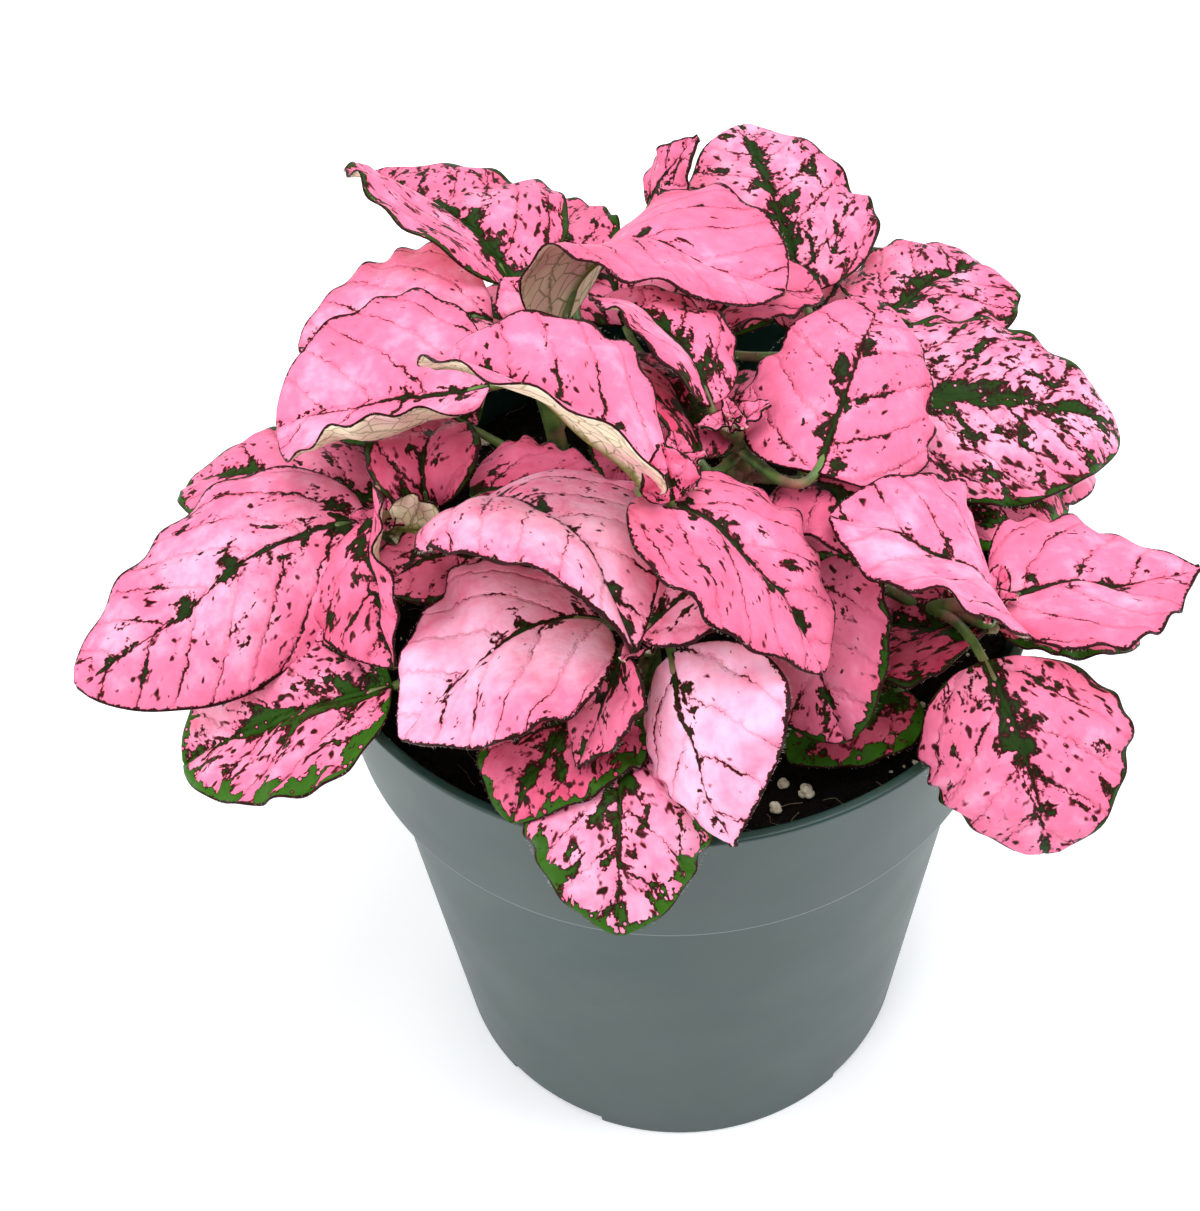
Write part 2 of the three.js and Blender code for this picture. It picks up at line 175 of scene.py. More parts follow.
def falloff(tree, distance, reach):
    """1 where the distance is nothing, 0 from the reach on."""
    return calc(tree, "MAXIMUM", calc(tree, "SUBTRACT", 1, calc(tree, "DIVIDE", distance, reach)), 0)


def ramp_between(tree, value, low, high, least=0.0, most=1.0):
    """The least below low, the most above high, and an even rise between them."""
    limits = {"Value": value, "From Min": low, "From Max": high, "To Min": least, "To Max": most}
    return add(tree, "ShaderNodeMapRange", limits).outputs["Result"]


def mix_colour(tree, share, first, second):
    return add(tree, "ShaderNodeMix", {0: share, 6: first, 7: second}, data_type="RGBA").outputs[2]


def noise(tree, where, scale, detail=2.0, roughness=0.5, distortion=0.0, space="3D"):
    """Cloudy values from 0 to 1; flat patterns use the cheaper 2D space."""
    inputs = {"Vector": where, "Scale": scale, "Detail": detail, "Roughness": roughness,
              "Distortion": distortion}
    return add(tree, "ShaderNodeTexNoise", inputs, noise_dimensions=space).outputs[0]


# %% Helpers for materials
def paint(red, green, blue):
    """A paint chip's screen colour, 0 to 255, as the linear colour that a shader wants."""
    def linear(value):
        value = value / 255
        return value / 12.92 if value <= 0.04045 else ((value + 0.055) / 1.055) ** 2.4
    return (linear(red), linear(green), linear(blue), 1)


def new_material(name, **shader_values):
    """A material whose single shader has these constant values on its own sockets."""
    material = bpy.data.materials.new(name)
    material.use_nodes = True
    tree = material.node_tree
    shader = tree.nodes["Principled BSDF"]
    for key, value in shader_values.items():
        shader.inputs[key.replace("_", " ")].default_value = value
    return material, tree, shader


def mottled_material(name, grain, spread, tones, **shader_values):
    """Two tones that follow a noise, the grain, from a low to a high value of it, the spread.

    Gives back the material and what a finer finish needs: its tree, its shader, the place on
    the piece, the noise and the mottled colour."""
    material, tree, shader = new_material(name, **shader_values)
    where = add(tree, "ShaderNodeTexCoord").outputs["Object"]
    tone = noise(tree, where, *grain)
    colour = mix_colour(tree, ramp_between(tree, tone, *spread), *tones)
    tree.links.new(colour, shader.inputs["Base Color"])
    return material, tree, shader, where, tone, colour


def bump(tree, shader, height, distance, strength):
    node = add(tree, "ShaderNodeBump",
               {"Height": height, "Distance": distance, "Strength": strength})
    tree.links.new(node.outputs["Normal"], shader.inputs["Normal"])


# %% [markdown]
# ## Floor and light
# The light is a soft studio tent: a broad panel overhead, a tall panel on each side for the
# pale streaks down the pot's flanks, and a bright world that fills the shadows. One picture of
# a studio could light it all, but five panels are easier to move until the streaks fit.

# %% Floor and lights
FLOOR_SIZE = 3.0
FLOOR_COLOUR = paint(247, 248, 250)
WORLD_COLOUR = paint(246, 248, 252)
FLOOR_GLOW = 0.3
WORLD_STRENGTH = 0.3
LIGHT_TARGET = Vector((0, 0, 0.1))
# Each panel: place in metres, width and height, power in watts.
PANELS = {
    "panel_top": ((0.08, -0.05, 0.9), (0.5, 0.5), 4.8),
    "panel_left": ((-0.85, -0.1, 0.42), (0.5, 0.9), 4.6),
    "panel_right": ((0.85, -0.1, 0.42), (0.5, 0.9), 5.4),
    "panel_front": ((-0.45, -0.6, 0.75), (0.4, 0.4), 2.6),
    "panel_back": ((0.0, 0.9, 0.6), (0.9, 0.5), 2.6),
}

half = FLOOR_SIZE / 2
floor = mesh_object("floor", [(-half, -half, 0), (half, -half, 0), (half, half, 0), (-half, half, 0)],
                    [(0, 1, 2, 3)])
floor_look = new_material("floor_white", Roughness=0.9, Base_Color=FLOOR_COLOUR,
                          Emission_Color=FLOOR_COLOUR, Emission_Strength=FLOOR_GLOW)[0]
floor.data.materials.append(floor_look)

world = bpy.data.worlds.new("studio")
world.use_nodes = True
backdrop = world.node_tree.nodes["Background"].inputs
backdrop["Color"].default_value = WORLD_COLOUR
backdrop["Strength"].default_value = WORLD_STRENGTH
bpy.context.scene.world = world
bpy.context.scene.view_settings.view_transform = "Standard"

for name, (place, size, power) in PANELS.items():
    panel = bpy.data.lights.new(name, "AREA")
    panel.shape = "RECTANGLE"
    panel.size, panel.size_y = size
    panel.energy = power
    lamp = in_scene(name, panel)
    lamp.location = place
    lamp.rotation_euler = (LIGHT_TARGET - Vector(place)).to_track_quat("-Z", "Y").to_euler()
print("light:", len(PANELS), "panels")

# %% [markdown]
# ## Pieces grown by node trees
# Several pieces follow a simple rule, so Geometry Nodes make them; a loop over vertices could
# do it too, but it is slower and harder to try out. A tree gets a carrier, such as a line of
# points, and named inputs for its sizes. Its result is turned into a plain mesh, and the
# carrier is thrown away.


# %% Helpers for grown pieces
def new_tree(name, **inputs):
    """A Geometry Nodes tree with an input of each kind, and the sockets that carry them."""
    tree = bpy.data.node_groups.new(name, "GeometryNodeTree")
    for title, kind in inputs.items():
        tree.interface.new_socket(title, in_out="INPUT", socket_type="NodeSocket" + kind)
    tree.interface.new_socket("Geometry", in_out="OUTPUT", socket_type="NodeSocketGeometry")
    return tree, add(tree, "NodeGroupInput").outputs


def finish_tree(tree, geometry, finish):
    """Ends a tree: smooth faces, no instances left, and the material set."""
    soft = add(tree, "GeometryNodeSetShadeSmooth", {"Geometry": geometry})
    real = add(tree, "GeometryNodeRealizeInstances", {"Geometry": soft.outputs[0]})
    dressed = add(tree, "GeometryNodeSetMaterial",
                  {"Geometry": real.outputs[0], "Material": finish})
    add(tree, "NodeGroupOutput", {"Geometry": dressed.outputs[0]})
    return tree


def evaluated_mesh(obj):
    """A plain mesh of what an object's modifiers make."""
    graph = bpy.context.evaluated_depsgraph_get()
    graph.update()
    return bpy.data.meshes.new_from_object(obj.evaluated_get(graph))


def grow(carrier, tree, values, name):
    """Runs a tree on its carrier and returns the result as a plain mesh object."""
    modifier = carrier.modifiers.new("grow", "NODES")
    modifier.node_group = tree
    for item in tree.interface.items_tree:
        if item.item_type == "SOCKET" and item.in_out == "INPUT" and item.name in values:
            modifier[item.identifier] = values[item.name]
    mesh = evaluated_mesh(carrier)
    mesh.name = name
    carrier.modifiers.remove(modifier)
    return in_scene(name, mesh)


# %% [markdown]
# ## The pot
# A nursery pot is injection moulded: one thin tapered wall, a wider band at the top, and every
# edge a little rounded. It is a turned shape. A Screw modifier could turn it, but here a node
# tree does, as for the other pieces, with the number of sides as a named input. The profile is
# an ordered line of points; the tree lays a grid of profile points by sides, gives each grid
# point its profile place, and turns it to its own angle. The rounded edges are in the profile,
# so no Bevel modifier has to find them.


# %% Turning tree
MERGE_DISTANCE = 0.01 * MM


def turning_tree():
    """Geometry Nodes: turns the carrier's line of points round Z with a number of sides."""
    tree, source = new_tree("turned_form", Profile="Geometry", Sides="Int", Finish="Material")
    size = add(tree, "GeometryNodeAttributeDomainSize", {"Geometry": source["Profile"]})
    count = size.outputs["Point Count"]
    columns = calc(tree, "ADD", source["Sides"], 1)
    grid = add(tree, "GeometryNodeMeshGrid", {"Vertices X": columns, "Vertices Y": count})
    index = add(tree, "GeometryNodeInputIndex").outputs[0]
    row = calc(tree, "MODULO", index, count)
    column = calc(tree, "FLOOR", calc(tree, "DIVIDE", index, count))
    angle = calc(tree, "DIVIDE", calc(tree, "MULTIPLY", column, math.tau), source["Sides"])
    position = add(tree, "GeometryNodeInputPosition").outputs[0]
    pick = add(tree, "GeometryNodeSampleIndex",
               {"Geometry": source["Profile"], "Index": row, "Value": position},
               data_type="FLOAT_VECTOR")
    turned = add(tree, "ShaderNodeVectorRotate",
                 {"Vector": pick.outputs["Value"], "Angle": angle}, rotation_type="Z_AXIS")
    placed = add(tree, "GeometryNodeSetPosition",
                 {"Geometry": grid.outputs["Mesh"], "Position": turned.outputs[0]})
    merged = add(tree, "GeometryNodeMergeByDistance",
                 {"Geometry": placed.outputs[0], "Distance": MERGE_DISTANCE})
    return finish_tree(tree, merged.outputs[0], source["Finish"])


# %% Pot sizes
POT_HEIGHT, RIM_RADIUS = 108.8, 54.0
BAND_HEIGHT, BAND_FOOT_RADIUS = 27.2, 50.8
BODY_TOP_RADIUS, BASE_RADIUS = 47.8, 40.2
WALL, FLOOR_THICKNESS = 1.6, 3.0
POT_SIDES = 160
BAND_FOOT = POT_HEIGHT - BAND_HEIGHT

# %% [markdown]
# The plastic is a satin grey-green. Two close tones give it faint flow marks, and a fine grain
# keeps it from looking polished. The band's lower edge has a light line that is a painted
# highlight, where the rounded edge would catch the light. A painted image could hold all this,
# but noises need no unwrapping and stay sharp from close by.

# %% Plastic finish
POT_GREEN = paint(14, 48, 43)
POT_GREEN_LIGHT = paint(20, 54, 49)
# The colour of the painted highlight along the band's lower edge.
POT_EDGE_HIGHLIGHT = paint(122, 138, 135)
EDGE_HIGHLIGHT_WIDTH = 0.35 * MM
FLOW_MARKS, SHEEN, PLASTIC_GRAIN = (28, 3), (60, 4), (2600, 2)


def plastic_material():
    material, tree, shader, where, _, colour = mottled_material(
        "pot_plastic", grain=FLOW_MARKS, spread=(0.3, 0.7), tones=(POT_GREEN, POT_GREEN_LIGHT),
        Roughness=0.42)
    # A light line at the band's lower edge is painted: a painted highlight, not a mark of the plastic.
    height = add(tree, "ShaderNodeSeparateXYZ", {"Vector": where}).outputs["Z"]
    from_edge = calc(tree, "ABSOLUTE", calc(tree, "SUBTRACT", height, BAND_FOOT * MM + EDGE_HIGHLIGHT_WIDTH))
    colour = mix_colour(tree, falloff(tree, from_edge, EDGE_HIGHLIGHT_WIDTH), colour, POT_EDGE_HIGHLIGHT)
    tree.links.new(colour, shader.inputs["Base Color"])
    sheen = noise(tree, where, *SHEEN)
    roughness = ramp_between(tree, sheen, 0, 1, least=0.36, most=0.5)
    tree.links.new(roughness, shader.inputs["Roughness"])
    bump(tree, shader, noise(tree, where, *PLASTIC_GRAIN), distance=0.03 * MM, strength=0.5)
    return material


pot_plastic = plastic_material()

# %% Pot
EDGE_RADIUS, EDGE_STEPS = 0.7, 4


def rounded(corners, radius):
    """A line through the corners with each inner corner rounded, and a point close beside it."""
    line = [Vector(corners[0])]
    for before, corner, after in zip(corners, corners[1:], corners[2:]):
        corner = Vector(corner)
        back = Vector(before) - corner
        ahead = Vector(after) - corner
        cut = min(radius, back.length / 3, ahead.length / 3)
        start, end = corner + back.normalized() * cut, corner + ahead.normalized() * cut
        line.append(start + back.normalized() * cut / 2)
        for i in range(EDGE_STEPS + 1):
            t = i / EDGE_STEPS
            line.append(start * (1 - t) ** 2 + corner * (2 * t * (1 - t)) + end * t ** 2)
        line.append(end + ahead.normalized() * cut / 2)
    line.append(Vector(corners[-1]))
    return line


POT_CORNERS = [
    (0, 0), (BASE_RADIUS, 0), (BODY_TOP_RADIUS, BAND_FOOT), (BAND_FOOT_RADIUS, BAND_FOOT),
    (RIM_RADIUS, POT_HEIGHT), (RIM_RADIUS - WALL, POT_HEIGHT),
    (BAND_FOOT_RADIUS - WALL, BAND_FOOT + WALL), (BODY_TOP_RADIUS - WALL, BAND_FOOT),
    (BASE_RADIUS - WALL, FLOOR_THICKNESS), (0, FLOOR_THICKNESS),
]
profile = rounded(POT_CORNERS, EDGE_RADIUS)
carrier = mesh_object("pot_profile", [(p.x * MM, 0, p.y * MM) for p in profile])
pot = grow(carrier, turning_tree(), {"Sides": POT_SIDES, "Finish": pot_plastic}, "pot_turned")
discard(carrier)
face_outwards(pot)
print("pot:", len(pot.data.polygons), "faces")

# %% [markdown]
# The foot has four shallow notches that let water out from under the pot. The vertices there
# could be moved by hand, but a block and the Boolean modifier cut clean edges at any angle.

# %% Drain notches
NOTCHES, NOTCH_WIDTH, NOTCH_RISE, FIRST_NOTCH = 4, 19.0, 2.0, -127.5
NOTCH_START, NOTCH_END = BASE_RADIUS - 7, BASE_RADIUS + 2
SHARPEST_SMOOTH = 40
BLOCK_FACES = [(3, 2, 1, 0), (4, 5, 6, 7), (0, 1, 5, 4), (1, 2, 6, 5), (2, 3, 7, 6), (3, 0, 4, 7)]

for i in range(NOTCHES):
    angle = math.radians(FIRST_NOTCH + i * 360 / NOTCHES)
    side, top = NOTCH_WIDTH / 2, NOTCH_RISE
    foot = ((NOTCH_START, -side), (NOTCH_END, -side), (NOTCH_END, side), (NOTCH_START, side))
    corners = [Vector((x * MM, y * MM, z * MM)) for z in (-top, top) for x, y in foot]
    block = mesh_object("notch", [Matrix.Rotation(angle, 3, "Z") @ c for c in corners], BLOCK_FACES)
    cut = pot.modifiers.new("cut", "BOOLEAN")
    cut.operation = "DIFFERENCE"
    cut.object = block
    carved = evaluated_mesh(pot)
    pot.modifiers.remove(cut)
    pot.data = carved
    discard(block)
pot.name = "nursery_pot"
smooth(pot)
pot.data.set_sharp_from_angle(angle=math.radians(SHARPEST_SMOOTH))
fit(pot, pot_plastic, "pot_plastic", "pot")
print("pot:", len(pot.data.polygons), "faces after its notches")

# %% [markdown]
# ## Leaves
# A leaf of this plant is egg-shaped, arched along its midrib, folded or rolled a little at each
# side, and quilted between its side veins. Sculpting each leaf would be slow, and copies of
# one leaf would look alike, so one rule gives them all: a row of numbers says where a leaf's
# base and tip are, how wide it is and how it bends, and every vertex of a fine grid is placed
# from its share along the leaf and across it. The rule is the same as in the solid, so the
# leaf keeps its form; the quilting, the groove over the midrib and the thin margin are added.
#
# Lengths are in millimetres and turns in degrees. The rise is the midrib's, at one third and
# two thirds of its length. Left and right give the fold and the curl of each half. The look is
# the leaf's colouring, from 0 to 1: how much green it carries, how green its margin is, and
# how deep its pink is. GENTLE is how a plain leaf bends, from its halves to its tip.

# %% Leaf rows
Leaf = namedtuple("Leaf", "base tip width roll rise left right twist tip_power look")
GENTLE = (10, -25), (10, -25), 0, 0.6
STEMS = {
    "stem_left": {"foot": (-24, -4), "crown": (-40, -5, 121), "leaves": [
        [(-43, -2, 120), (-84, -24, 114), 35, -20, (7, -1), (-22, -55), (22, -20), -15, 0.55, (.5, .1, .28)],
        [(-41, 8, 112), (-74, 20, 107), 30, -5, (4, 6), (10, -25), (5, -35), 5, 0.6, (.7, .6, .5)],
        [(-41, -6, 125), (-39, -29, 119), 26, -40, (3, 1), (35, 10), (10, -20), 5, 0.8, (.65, .1, .6)],
        [(-40, -27, 113), (-71, -29, 101), 30, 10, (2, 2), (20, -15), (20, -20), 5, 0.6, (.9, 1, .33)],
        [(-34, -4, 124), (-32, 10, 127), 17, 10, (7, 2), (15, -20), (10, -20), 0, 0.6, (.6, .3, .7)],
        [(-29, -12, 129), (-7, -45, 138), 33, 20, (9, 11), (15, -35), (25, -75), 30, 0.8, (.42, .1, .15)],
        [(-28, -4, 125), (-9, -5, 126), 28, 5, (3, 1), (5, -35), (10, -25), 5, 0.6, (.5, .2, .75)],
        [(-40, -6, 122), (-31, -12, 127), 10, 110, (1, 1), (10, 0), (10, 0), 0, 0.8, (.3, .2, .3)],
        [(-36, -4, 113), (-63, -6, 107), 22, 5, (4, 3), (5, -20), (5, -20), 0, 0.6, (.7, .6, .6)],
        [(-28, -10, 122), (-42, -18, 123), 15, 0, (1, 1), (0, -20), (0, -20), 0, 0.6, (.5, .2, .6)],
    ]},
    "stem_front": {"foot": (-4, -16), "crown": (-5, -36, 128), "leaves": [
        [(-11, -28, 125), (-38, -41, 119), 34, -10, (8, 2), (10, -25), (10, -20), 0, 0.75, (.22, 0, .12)],
        [(-10, -32, 114), (-24, -50, 111), 25, -20, (2, 4), (0, -20), (15, -30), 0, 0.6, (.85, .7, .8)],
        [(-8, -37, 129), (-15, -47, 118), 18, -25, (0, 0), (20, -15), (0, -35), -10, 0.8, (.6, .2, .5)],
        [(-2, -38, 129), (4, -60, 117), 29, -30, (4, 4), (10, -20), (-30, -40), -5, 1, (.15, .05, 0)],
        [(-6, -38, 133), (8, -31, 130), 15, 0, (4, 7), (5, -20), (15, -20), 0, 0.6, (.45, .1, .3)],
        [(-9, -42, 115), (-11, -63, 103), 26, 0, (5, 5), (0, -45), (0, -30), -5, 0.6, (.7, .9, .2)],
    ]},
    "stem_centre": {"foot": (2, 0), "crown": (1, -20, 143), "leaves": [
        [(-4, -23, 143), (17, -42, 128), 33, 15, (6, 4), (5, -35), (20, -25), 0, 0.75, (.5, .05, .5)],
        [(-3, -26, 146), (-30, -6, 152), 32, 10, (6, 8), (60, 5), (0, -25), 35, 0.7, (.4, .15, .4)],
        [(-1, -27, 146), (-2, -24, 153), 8, 0, (1, 1), (10, -25), (10, -25), 0, 0.9, (.4, .2, .5)],
    ]},
    "stem_back_left": {"foot": (-14, 16), "crown": (-19, 18, 131), "leaves": [
        [(-24, 4, 139), (-55, 7, 131), 37, 10, (0, 2), (0, 90), (15, -20), 15, 0.6, (.15, 0, .34)],
        [(-14, 26, 130), (18, 15, 143), 38, 30, (16, 3), (20, 0), (0, 0), -30, 0.6, (.15, 0, .5)],
        [(-21, 36, 130), (-43, 67, 130), 36, -15, (6, 0), (30, -10), (20, -30), -10, 0.6, (.8, .4, .4)],
        [(-24, 28, 130), (-53, 25, 130), 36, 5, (6, -2), (10, -25), (10, -35), -5, 0.6, (.3, .1, .35)],
        [(-17, 26, 129), (-22, 33, 134), 11, 0, (2, 2), (10, -25), (5, -30), 0, 0.8, (.3, .1, .4)],
        [(-12, 42, 124), (-20, 68, 119), 24, 0, (4, 4), *GENTLE, (.7, .5, .5)],
        [(-28, 22, 114), (-56, 35, 109), 24, 0, (5, 5), *GENTLE, (.7, .5, .5)],
    ]},
    "stem_middle": {"foot": (12, 4), "crown": (9, -6, 137), "leaves": [
        [(19, -16, 138), (32, 16, 139), 31, -5, (0, 5), (-5, -40), (-10, -50), -10, 0.6, (.4, .05, .45)],
        [(6, -4, 140), (-8, 16, 143), 21, -15, (5, 4), (25, 0), (10, -30), 15, 0.6, (.6, .2, .4)],
        [(4, -10, 136), (-6, 15, 134), 20, -30, (4, 3), (20, -25), (10, -25), 10, 0.6, (.8, .3, .85)],
        [(8, -4, 130), (13, 18, 126), 13, 10, (3, 1), (0, -30), (5, -25), 5, 0.6, (.5, .2, .8)],
        [(17, 8, 128), (22, 20, 128), 9, 0, (2, 2), (5, -30), (10, -25), 0, 0.8, (.4, .1, .8)],
        [(18, -8, 129), (26, -24, 129), 18, 0, (4, 4), *GENTLE, (.5, .1, .7)],
        [(18, 2, 112), (36, -6, 108), 20, 0, (4, 3), (10, -20), (10, -20), 0, 0.6, (.7, .5, .7)],
    ]},
    "stem_right": {"foot": (30, -14), "crown": (42, -27, 121), "leaves": [
        [(43, -26, 121), (71, -23, 122), 32, 0, (4, -3), (10, -45), (15, 10), 20, 0.95, (.2, .1, .39)],
        [(39.5, -36, 121), (46, -54, 102), 30, -10, (5, 7), (5, -20), (5, -80), -20, 0.55, (.7, .25, .4)],
        [(42, -30, 123), (20, -22, 136), 31, 0, (7, 2), (20, 10), (-5, -5), 35, 0.75, (.2, .05, .3)],
        [(18, -18, 120), (21, -41, 112), 26, -30, (3, 5), (20, -10), (0, -45), 15, 0.6, (.55, .5, .5)],
        [(42, -27, 117), (24, -18, 106), 27, 0, (1, 2), (15, -20), (15, -20), 10, 0.6, (.9, .3, .95)],
        [(32, -24, 101), (14, -37, 103), 18, 0, (2, 2), (5, -20), (10, -25), 5, 0.6, (1, 1, .9)],
        [(44, -18, 111), (65, -23, 107), 18, 0, (4, 4), (5, -20), (5, -20), 0, 0.6, (.7, .5, .6)],
    ]},
    "stem_back_right": {"foot": (22, 18), "crown": (32, 24, 127), "leaves": [
        [(23, 32, 128), (17, 69, 133), 32, 0, (4, 2), (0, -45), (0, -25), -5, 0.6, (.8, .2, .3)],
        [(34, 28, 127), (55, 47, 117), 28, 0, (-1, 6), (5, -30), (5, -30), -10, 0.5, (.75, .4, .35)],
        [(32, 10, 128), (68, 10, 116), 35, -10, (0, 6), (0, -20), (0, -20), 10, 0.6, (.95, .4, .22)],
        [(40, 6, 113), (60, 3, 109), 28, -10, (5, 6), (15, -15), (5, -30), 0, 0.6, (.95, .9, .5)],
        [(41, 13, 111), (66, 11, 106), 25, -10, (4, 4), (5, -15), (10, -10), 0, 0.6, (.1, .1, .3)],
        [(8, 23, 131), (25, 26, 133), 20, 0, (4, 2), (15, -20), (20, 0), -5, 0.6, (.6, .2, .6)],
        [(37, 28, 109), (58, 46, 103), 24, 0, (5, 5), *GENTLE, (.7, .5, .5)],
    ]},
    "stem_back": {"foot": (2, 30), "crown": (2, 36, 118), "leaves": [
        [(-16, 38, 110), (-33, 61, 105), 24, 0, (5, 5), *GENTLE, (.7, .5, .5)],
        [(-4, 38, 119), (-9, 68, 112), 25, 0, (5, 5), *GENTLE, (.5, .2, .4)],
        [(10, 38, 115), (15, 66, 107), 26, 0, (5, 5), *GENTLE, (.7, .6, .5)],
        [(2, 26, 112), (-8, 10, 112), 18, 0, (3, 3), (10, -20), (10, -20), 0, 0.6, (.6, .3, .8)],
        [(24, 34, 117), (38, 58, 109), 26, 0, (5, 5), *GENTLE, (.4, .2, .3)],
        [(1, 55, 129), (9, 54, 142), 10, -30, (1, 1), (0, -20), (0, -20), 0, 0.9, (.4, .2, .4)],
    ]},
}
for stem in STEMS.values():
    stem["leaves"] = [Leaf(*row) for row in stem["leaves"]]
print("leaves:", sum(len(stem["leaves"]) for stem in STEMS.values()), "on", len(STEMS), "stems")

# %% [markdown]
# A point's bend is worked out in steps. First comes the middle surface: where the midrib runs,
# how wide the leaf is there, and how the two halves fold and curl away from it.

# %% Leaf surface
WIDEST_AT = 0.4
BASE_POWER = 0.62
END_WIDTH = 0.7
WAVE_HEIGHT, WAVES, RIGHT_PHASE = 0.6, 2.5, 2.1
MIDRIB_HANDLE, CONTROL_RISE = 0.3, 4 / 3
LEAST_CURL = 0.006


def unit(vectors):
    return vectors / np.linalg.norm(vectors, axis=-1, keepdims=True)


def bezier(controls, share):
    """Points and directions of a Bezier curve with three or four controls."""
    p = [np.asarray(c, float) for c in controls]
    t = np.asarray(share, float)[..., None]
    if len(p) == 3:
        point = (1 - t) ** 2 * p[0] + 2 * t * (1 - t) * p[1] + t ** 2 * p[2]
        along = 2 * (1 - t) * (p[1] - p[0]) + 2 * t * (p[2] - p[1])
    else:
        point = ((1 - t) ** 3 * p[0] + 3 * t * (1 - t) ** 2 * p[1]
                 + 3 * t ** 2 * (1 - t) * p[2] + t ** 3 * p[3])
        along = (3 * (1 - t) ** 2 * (p[1] - p[0]) + 6 * t * (1 - t) * (p[2] - p[1])
                 + 3 * t ** 2 * (p[3] - p[2]))
    return point, unit(along)


def leaf_length(row):
    """How far a leaf's tip is from its base, in a straight line."""
    return np.linalg.norm(np.array(row.tip, float) - np.array(row.base, float))


def leaf_frame(row):
    """Base, tip, chord, upward normal and left side of a leaf, in millimetres."""
    base, tip, roll = np.array(row.base, float), np.array(row.tip, float), math.radians(row.roll)
    chord = unit(tip - base)
    normal = unit(np.array([0, 0, 1.0]) - chord * chord[2])
    side = np.cross(normal, chord)
    upward = normal * math.cos(roll) + side * math.sin(roll)
    return base, tip, chord, upward, side * math.cos(roll) - normal * math.sin(roll)


def midrib_controls(row):
    base, tip, chord, normal, _ = leaf_frame(row)
    reach = np.linalg.norm(tip - base) * MIDRIB_HANDLE
    first = base + chord * reach + normal * row.rise[0] * CONTROL_RISE
    second = tip - chord * reach + normal * row.rise[1] * CONTROL_RISE
    return base, first, second, tip


def half_width(share, width, tip_power):
    """Half the leaf's width at a share of its length; a small power gives a blunt tip."""
    power = math.log(0.5) / math.log(WIDEST_AT)
    swell = np.clip(np.sin(np.pi * share ** power), 0, 1)
    shape = np.where(share < WIDEST_AT, swell ** BASE_POWER, swell ** tip_power)
    return np.maximum(shape * width / 2, END_WIDTH)


def leaf_surface(row, share, across):
    """Points of a leaf's middle surface, in millimetres, from shares along and across it."""
    left = leaf_frame(row)[4]
    point, along = bezier(midrib_controls(row), share)
    normal = unit(np.cross(along, np.broadcast_to(left, along.shape)))
    side = np.cross(normal, along)
    turn = (math.radians(row.twist) * (share - 0.5))[..., None]
    normal, side = (normal * np.cos(turn) + side * np.sin(turn),
                    side * np.cos(turn) - normal * np.sin(turn))
    reach = np.abs(across) * half_width(share, row.width, row.tip_power)
    is_left = across >= 0
    fold = np.where(is_left, math.radians(row.left[0]), math.radians(row.right[0]))
    curl = np.where(is_left, row.left[1] or LEAST_CURL, row.right[1] or LEAST_CURL)
    bend = np.radians(curl) / (row.width / 2)
    out = (np.sin(fold + bend * reach) - np.sin(fold)) / bend
    phase = np.where(is_left, 0, RIGHT_PHASE)
    wave = np.sin(math.tau * WAVES * share + phase) * np.sin(np.pi * share)
    lift = (np.cos(fold) - np.cos(fold + bend * reach)) / bend + WAVE_HEIGHT * across ** 2 * wave
    return point + side * (np.sign(across) * out)[..., None] + normal * lift[..., None]


# %% [markdown]
# The tissue swells between the side veins, which leave the midrib at an angle and curve towards
# the tip. A groove runs over the midrib and a rib under it, and the margin ripples a little.

# %% Leaf relief
VEIN_SPACING = 7.4
VEIN_SLOPE, VEIN_CURVE, RIGHT_SHIFT = 0.6, 0.032, 0.35
FULL_WIDTH = 30
QUILT_HEIGHT, QUILT_POWER, QUILT_CHANGE, QUILT_CHANGES = 0.55, 0.8, 0.35, (2.1, 2)
FLAT_BY_MIDRIB, FLAT_BY_MARGIN = 2.5, 1 / 3
RIPPLE_HEIGHT, RIPPLES, RIPPLE_SHIFT = 0.7, 5.3, 1.7
SWELL_HEIGHT, SWELLS, SWELLS_ACROSS, SWELL_SHIFTS = 0.7, 2.2, 2.6, (2.3, 1.7)
GROOVE_DEPTH, GROOVE_WIDTH, GROOVE_SPAN, GROOVE_FADE = 0.3, 0.8, (0.02, 0.98), 0.3
RIB_HEIGHT, RIB_WIDTH, RIB_TAPER = 0.5, 0.55, 0.7


def vein_phase(along_mm, across_mm, seed):
    """Whole numbers of this value are the side veins: they slope and curve towards the tip."""
    lean = VEIN_SLOPE * np.abs(across_mm) + VEIN_CURVE * across_mm ** 2
    return (along_mm - lean) / VEIN_SPACING + (np.where(across_mm >= 0, 0.0, RIGHT_SHIFT) + seed)


